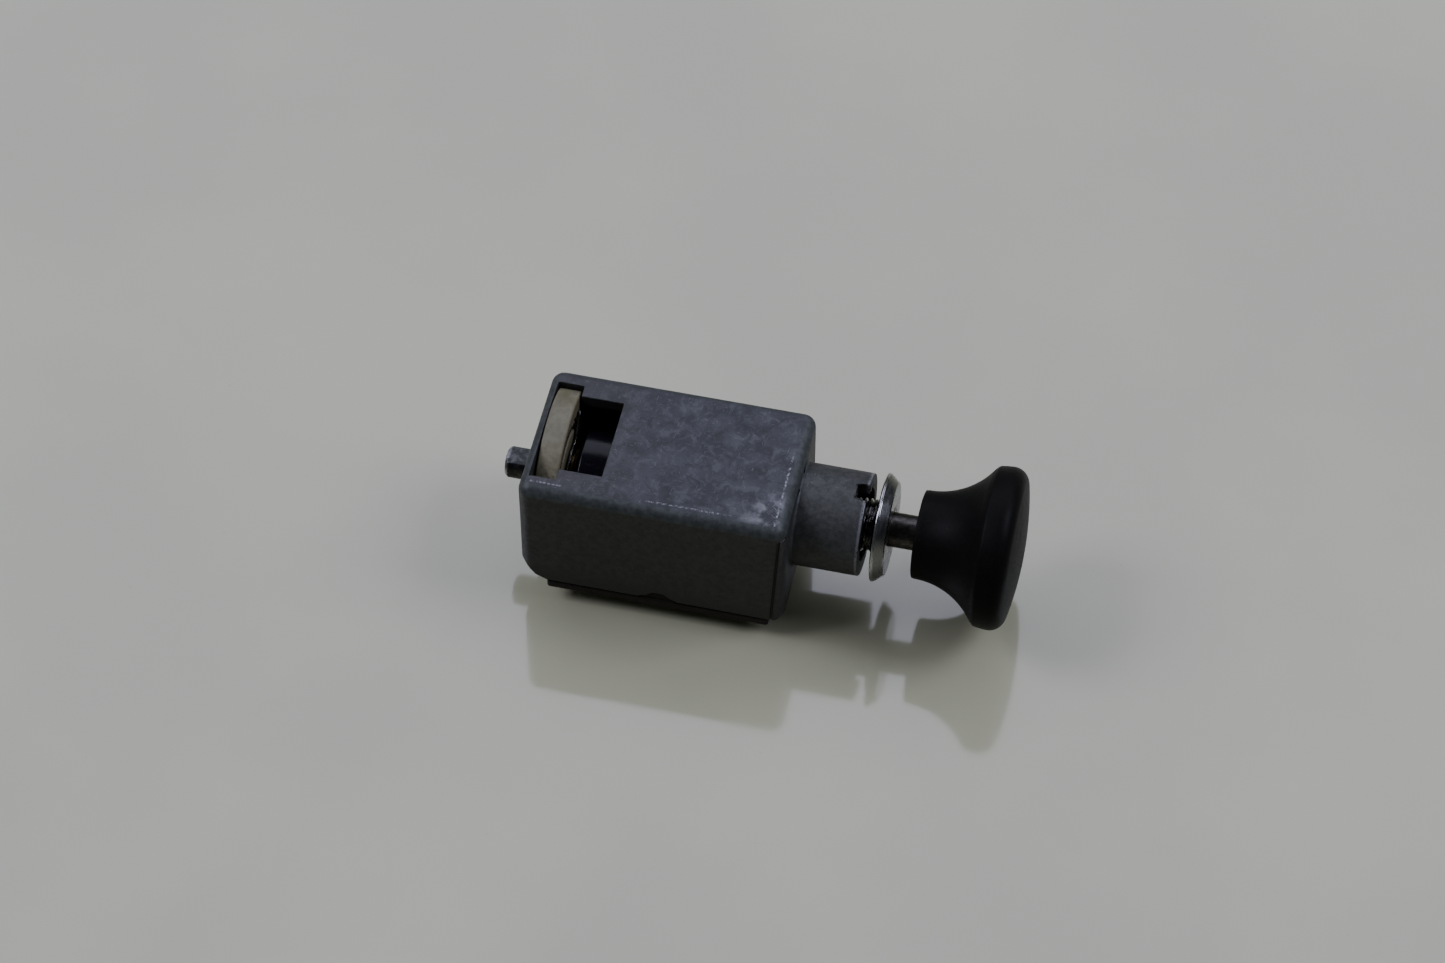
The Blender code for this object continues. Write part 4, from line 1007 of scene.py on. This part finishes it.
def make_wiper():
    inner = STUB_RADIUS + GAP
    flange = SLEEVE_HIGH.z
    peened = SLEEVE_LOW.x + 0.4
    front = SLEEVE_HIGH.x
    profile = [
        (SLEEVE_LOW.x, inner),
        (SLEEVE_LOW.x, flange - 0.6),
        (peened, flange - 0.6),
        (peened, SLEEVE_RADIUS),
        (front - 0.5, SLEEVE_RADIUS),
        (front - 0.5, flange),
        (front, flange),
        (front, inner),
    ]
    flat = block((SLEEVE_LOW.x + 0.1, -2.4, FLAT_HEIGHT + GAP), (front - 0.1, 2.4, inner + 0.2))
    sleeve = combined(turned(rounded(profile, 0.15), 72), [("UNION", flat)])
    piece("sleeve_turned", sleeve, "wiper", STAINED_BRASS, "wiper_sleeve", 0.1, None, 2, 30)

    thickness = ARM_HIGH.x - ARM_LOW.x
    hub_inner = SLEEVE_RADIUS + GAP
    hub = arc((0.0, 0.0), flange + 0.7, 110, 430, 64)
    tip = 12.1
    half_tip = 1.0
    root = [(hub[-1][0] * 0.98, hub[-1][1] * 1.02), (1.3, 7.4)]
    finger = root + arc((0.0, tip - half_tip), half_tip, 0, 180, 16) + [(-1.3, 7.4)]
    arm = extruded(hub + finger, ARM_LOW.x, ARM_LOW.x + thickness, "X")
    hole = [(ARM_LOW.x - PAST, 0.0), (ARM_LOW.x - PAST, hub_inner), (ARM_HIGH.x + PAST, hub_inner)]
    hole += [(ARM_HIGH.x + PAST, 0.0)]
    dimple = [(ARM_LOW.x - 0.24, 0.0), (ARM_LOW.x - 0.2, 0.3), (ARM_LOW.x, 0.6), (ARM_LOW.x + 0.1, 0.62)]
    dimple += [(ARM_LOW.x + 0.1, 0.0)]
    contact = turned(dimple, 24)
    bmesh.ops.translate(contact, verts=contact.verts, vec=(0.0, 0.0, COIL_RADIUS))
    rib = tube([(ARM_HIGH.x, 0.0, 7.2), (ARM_HIGH.x, 0.0, 9.0), (ARM_HIGH.x, 0.0, 10.6)], 0.22, 12)
    bm = combined(arm, [("DIFFERENCE", turned(hole, 64)), ("UNION", contact), ("UNION", rib)])
    bmesh.ops.rotate(bm, matrix=Matrix.Rotation(math.radians(-WIPER_ANGLE), 3, "X"), verts=bm.verts)
    piece("wiper_spring_arm", bm, "wiper", WIPER_STEEL, "wiper_arm", 0.09, None, 2)

    low, high = box_of("wave_washer")
    ring = [(low.x, hub_inner), (low.x, high.z), (high.x, high.z), (high.x, hub_inner)]
    washer = turned(rounded(ring, 0.08), 96)
    for vert in washer.verts:
        vert.co.x += 0.1 * math.cos(3 * math.atan2(vert.co.y, vert.co.z))
    piece("wave_washer_ring", washer, "wiper", SPRING_STEEL, "wave_washer")


# Contact carriage


def helix(centre, radius, low, high, turns, steps=20):
    points = []
    for step in range(turns * steps + 1):
        angle = TURN * step / steps
        height = low + (high - low) * step / (turns * steps)
        points.append((centre[0] + radius * math.cos(angle), centre[1] + radius * math.sin(angle), height))
    return points


def make_spring(name, centre, turns, wire):
    low, high = box_of(name)
    radius = (high.y - low.y) / 2 - wire
    path = helix(centre, radius, low.z + wire, high.z - wire, turns)
    piece(f"{name}_coil", tube(path, wire, 10), "carriage", SPRING_STEEL, name)


def make_carriage():
    rear, front = CARRIAGE_LOW.x, CARRIAGE_HIGH.x
    recess = rear + 1.4
    clip_room = 5.4
    edge = 0.45
    profile = [(recess, ROD_BORE), (recess, clip_room), (rear, clip_room)]
    profile += arc((rear + edge, DRUM_RADIUS - edge), edge, 180, 90, 5)
    profile += arc((front - edge, DRUM_RADIUS - edge), edge, 90, 0, 5)
    profile += [(front, ROD_BORE)]
    sole_top = -5.6
    bottom = CARRIAGE_LOW.z
    half_width = CARRIAGE_HIGH.y
    sole = block((rear + 3.3, -half_width, bottom), (front - 0.02, half_width, sole_top))
    steps = [("UNION", sole)]
    channel_top = bottom + 1.1
    middle = sum(BRIDGE_DIMPLES) / 2
    for side in (-1, 1):
        centre = side * BRIDGE_SIDE
        low = (BRIDGE_DIMPLES[0] - 2.6, centre - 2.2, bottom - PAST)
        high = (BRIDGE_DIMPLES[1] + 1.4, centre + 2.2, channel_top)
        well = [(channel_top - PAST, 0.0), (channel_top - PAST, 1.9), (-6.9, 1.9), (-6.9, 0.0)]
        steps.append(("DIFFERENCE", block(low, high)))
        steps.append(("DIFFERENCE", upright(well, (middle, centre))))
    hole = BALL_RADIUS + GAP
    ball_hole = [(4.4, 0.0), (4.4, hole), (DRUM_RADIUS + PAST, hole), (DRUM_RADIUS + PAST, 0.0)]
    steps.append(("DIFFERENCE", upright(ball_hole, (DETENT_STATION, 0.0))))
    bm = combined(turned(profile, 112), steps)
    piece("carriage_moulding", bm, "carriage", PHENOLIC, "contact_carriage", 0.22, None, 2, 42)

    low, high = box_of("detent_ball")
    centre = (low.z + high.z) / 2
    ball = [(centre - BALL_RADIUS, 0.0)]
    ball += [(centre + a, b) for a, b in arc((0.0, 0.0), BALL_RADIUS, 172, 8, 20)]
    ball += [(centre + BALL_RADIUS, 0.0)]
    shape = upright(ball, (DETENT_STATION, 0.0))
    piece("detent_ball_polished", shape, "carriage", SPRING_STEEL, "detent_ball")
    make_spring("detent_spring", (DETENT_STATION, 0.0), 2, 0.15)
    for name, side in (("left", 1), ("right", -1)):
        make_spring(f"bridge_spring_{name}", (middle, side * BRIDGE_SIDE), 3, 0.2)
        make_bridge(f"contact_bridge_{name}")


def make_bridge(name):
    """A copper strip with rounded ends and a contact dimple under each."""
    low, high = box_of(name)
    thickness = 0.6
    side = (low.y + high.y) / 2
    outline = rounded_rectangle((low.x, low.y), (high.x, high.y), 0.8)
    bottom = high.z - thickness
    steps = []
    for station in BRIDGE_DIMPLES:
        dimple = [(low.z, 0.0), (low.z, 0.25), (low.z + 0.12, 0.5), (bottom, 0.9), (bottom + 0.2, 0.9)]
        dimple += [(bottom + 0.2, 0.0)]
        steps.append(("UNION", upright(dimple, (station, side), 32)))
    bm = combined(extruded(outline, bottom, high.z, "Z"), steps)
    piece(f"{name}_strip", bm, "carriage", COPPER, name, 0.08, None, 2)


# Terminal base


def make_base():
    half_flange = BASE_HIGH.y
    half_plug = CAVITY_HALF_WIDTH - GAP
    corner = 0.6
    outline = rounded_rectangle((BASE_LOW.x, -half_flange), (BASE_HIGH.x, half_flange), corner)
    flange_top = RIM - GAP
    inside = flange_top - GAP
    plug_low = (BASE_LOW.x + GAP, -half_plug, inside)
    lug_side = half_flange - GAP
    steps = [
        ("UNION", block(plug_low, (-FRONT_WALL - GAP - 0.6, half_plug, BASE_HIGH.z))),
        ("UNION", extruded(bite_outline(GAP), -lug_side, lug_side, "Y")),
    ]
    hole_radius = SCREW_RADIUS + GAP
    hole = [(BASE_LOW.z - PAST, 0.0), (BASE_LOW.z - PAST, hole_radius)]
    hole += [(BASE_HIGH.z + PAST, hole_radius), (BASE_HIGH.z + PAST, 0.0)]
    for station in SCREW_STATIONS:
        for side in (-BRIDGE_SIDE, BRIDGE_SIDE):
            steps.append(("DIFFERENCE", upright(hole, (station, side), 40)))
    bm = combined(extruded(outline, BASE_LOW.z, flange_top, "Z"), steps)
    piece("base_moulding", bm, "housing", BROWN_PHENOLIC, "terminal_base", 0.2)


def make_terminals():
    bottom = SCREW_LOW.z
    washer_low = box_of("clamp_washer_1")[0].z
    head_top = washer_low - GAP
    profile = [
        (bottom, 0.0),
        (bottom, SCREW_HEAD_RADIUS - 0.35),
        (bottom + 0.35, SCREW_HEAD_RADIUS),
        (head_top, SCREW_HEAD_RADIUS),
        (head_top, SCREW_RADIUS),
        (SCREW_HIGH.z, SCREW_RADIUS),
        (SCREW_HIGH.z, 0.0),
    ]
    slot = 0.5
    reach = SCREW_HEAD_RADIUS + PAST
    number = 0
    for side in (BRIDGE_SIDE, -BRIDGE_SIDE):
        for station in SCREW_STATIONS:
            number += 1
            low = (station - slot, side - reach, bottom - PAST)
            high = (station + slot, side + reach, bottom + 1.2)
            bm = cut(upright(rounded(profile, 0.2), (station, side), 64), block(low, high))
            name = f"terminal_screw_{number}"
            piece(f"{name}_slotted", bm, "housing", PLATED, name, 0.12, None, 2, 42)
            make_washer(number, station, side)
            make_contact(number)


def make_washer(number, station, side):
    name = f"clamp_washer_{number}"
    low, high = box_of(name)
    inner = SCREW_RADIUS + GAP
    outer = (high.x - low.x) / 2
    ring = [(low.z, inner), (low.z, outer), (high.z, outer), (high.z, inner)]
    bm = upright(rounded(ring, 0.1), (station, side), 64)
    piece(f"{name}_ring", bm, "housing", PLATED, name)


def make_contact(number):
    name = f"fixed_contact_{number}"
    low, high = box_of(name)
    outline = rounded_rectangle((low.x, low.y), (high.x, high.y), 0.7)
    bm = extruded(outline, low.z, high.z, "Z")
    piece(f"{name}_pad", bm, "housing", BRASS, name, 0.15)


# Stage


def make_stage():
    size = 6.0
    bm = bmesh.new()
    bmesh.ops.create_grid(bm, x_segments=1, y_segments=1, size=size)
    floor = object_from(bm, "floor")
    floor.data.materials.append(table_top())


def aim(obj, target):
    obj.rotation_euler = (Vector(target) - obj.location).to_track_quat("-Z", "Y").to_euler()


def area_light(name, place, target, size, power, colour):
    data = bpy.data.lights.new(name, "AREA")
    data.shape = "RECTANGLE"
    data.size, data.size_y = size
    data.energy = power
    data.color = colour
    light = bpy.data.objects.new(name, data)
    light.location = place
    bpy.context.collection.objects.link(light)
    aim(light, target)


def make_lights():
    world = bpy.data.worlds.new("studio")
    world.use_nodes = True
    background = world.node_tree.nodes["Background"]
    background.inputs["Color"].default_value = (0.85, 0.9, 1.0, 1.0)
    background.inputs["Strength"].default_value = 0.06
    bpy.context.scene.world = world
    centre = (0.0, 0.0, 0.02)
    cool = (0.93, 0.95, 1.17)
    area_light("softbox_back", (-0.22, 0.9, 1.18), centre, (2.6, 1.0), 12.0, cool)
    area_light("softbox_right", (0.9, 0.2, 0.98), centre, (0.55, 0.55), 8.4, cool)
    area_light("softbox_left", (-0.88, -0.2, 1.0), centre, (0.55, 0.55), 8.4, cool)


def make_camera():
    """A long lens high over the right side (-Y), turned a little towards the knob's end."""
    target = Vector((-0.0081, 0.0013, 0.0234))
    azimuth = math.radians(12.68)
    elevation = math.radians(51.84)
    distance = 0.849
    back = Vector((
        math.sin(azimuth) * math.cos(elevation),
        -math.cos(azimuth) * math.cos(elevation),
        math.sin(elevation),
    ))
    data = bpy.data.cameras.new("camera")
    data.lens = 114.4
    data.sensor_width = 36.0
    camera = bpy.data.objects.new("camera", data)
    camera.location = target + back * distance
    bpy.context.collection.objects.link(camera)
    camera.rotation_euler = (-back).to_track_quat("-Z", "Y").to_euler()
    bpy.context.scene.camera = camera


make_housing()
make_bezel_nut()
make_guide_bush()
make_pull_shaft()
make_clips()
make_knob()
make_rheostat()
make_lead()
make_wiper()
make_carriage()
make_base()
make_terminals()
make_stage()
make_lights()
make_camera()
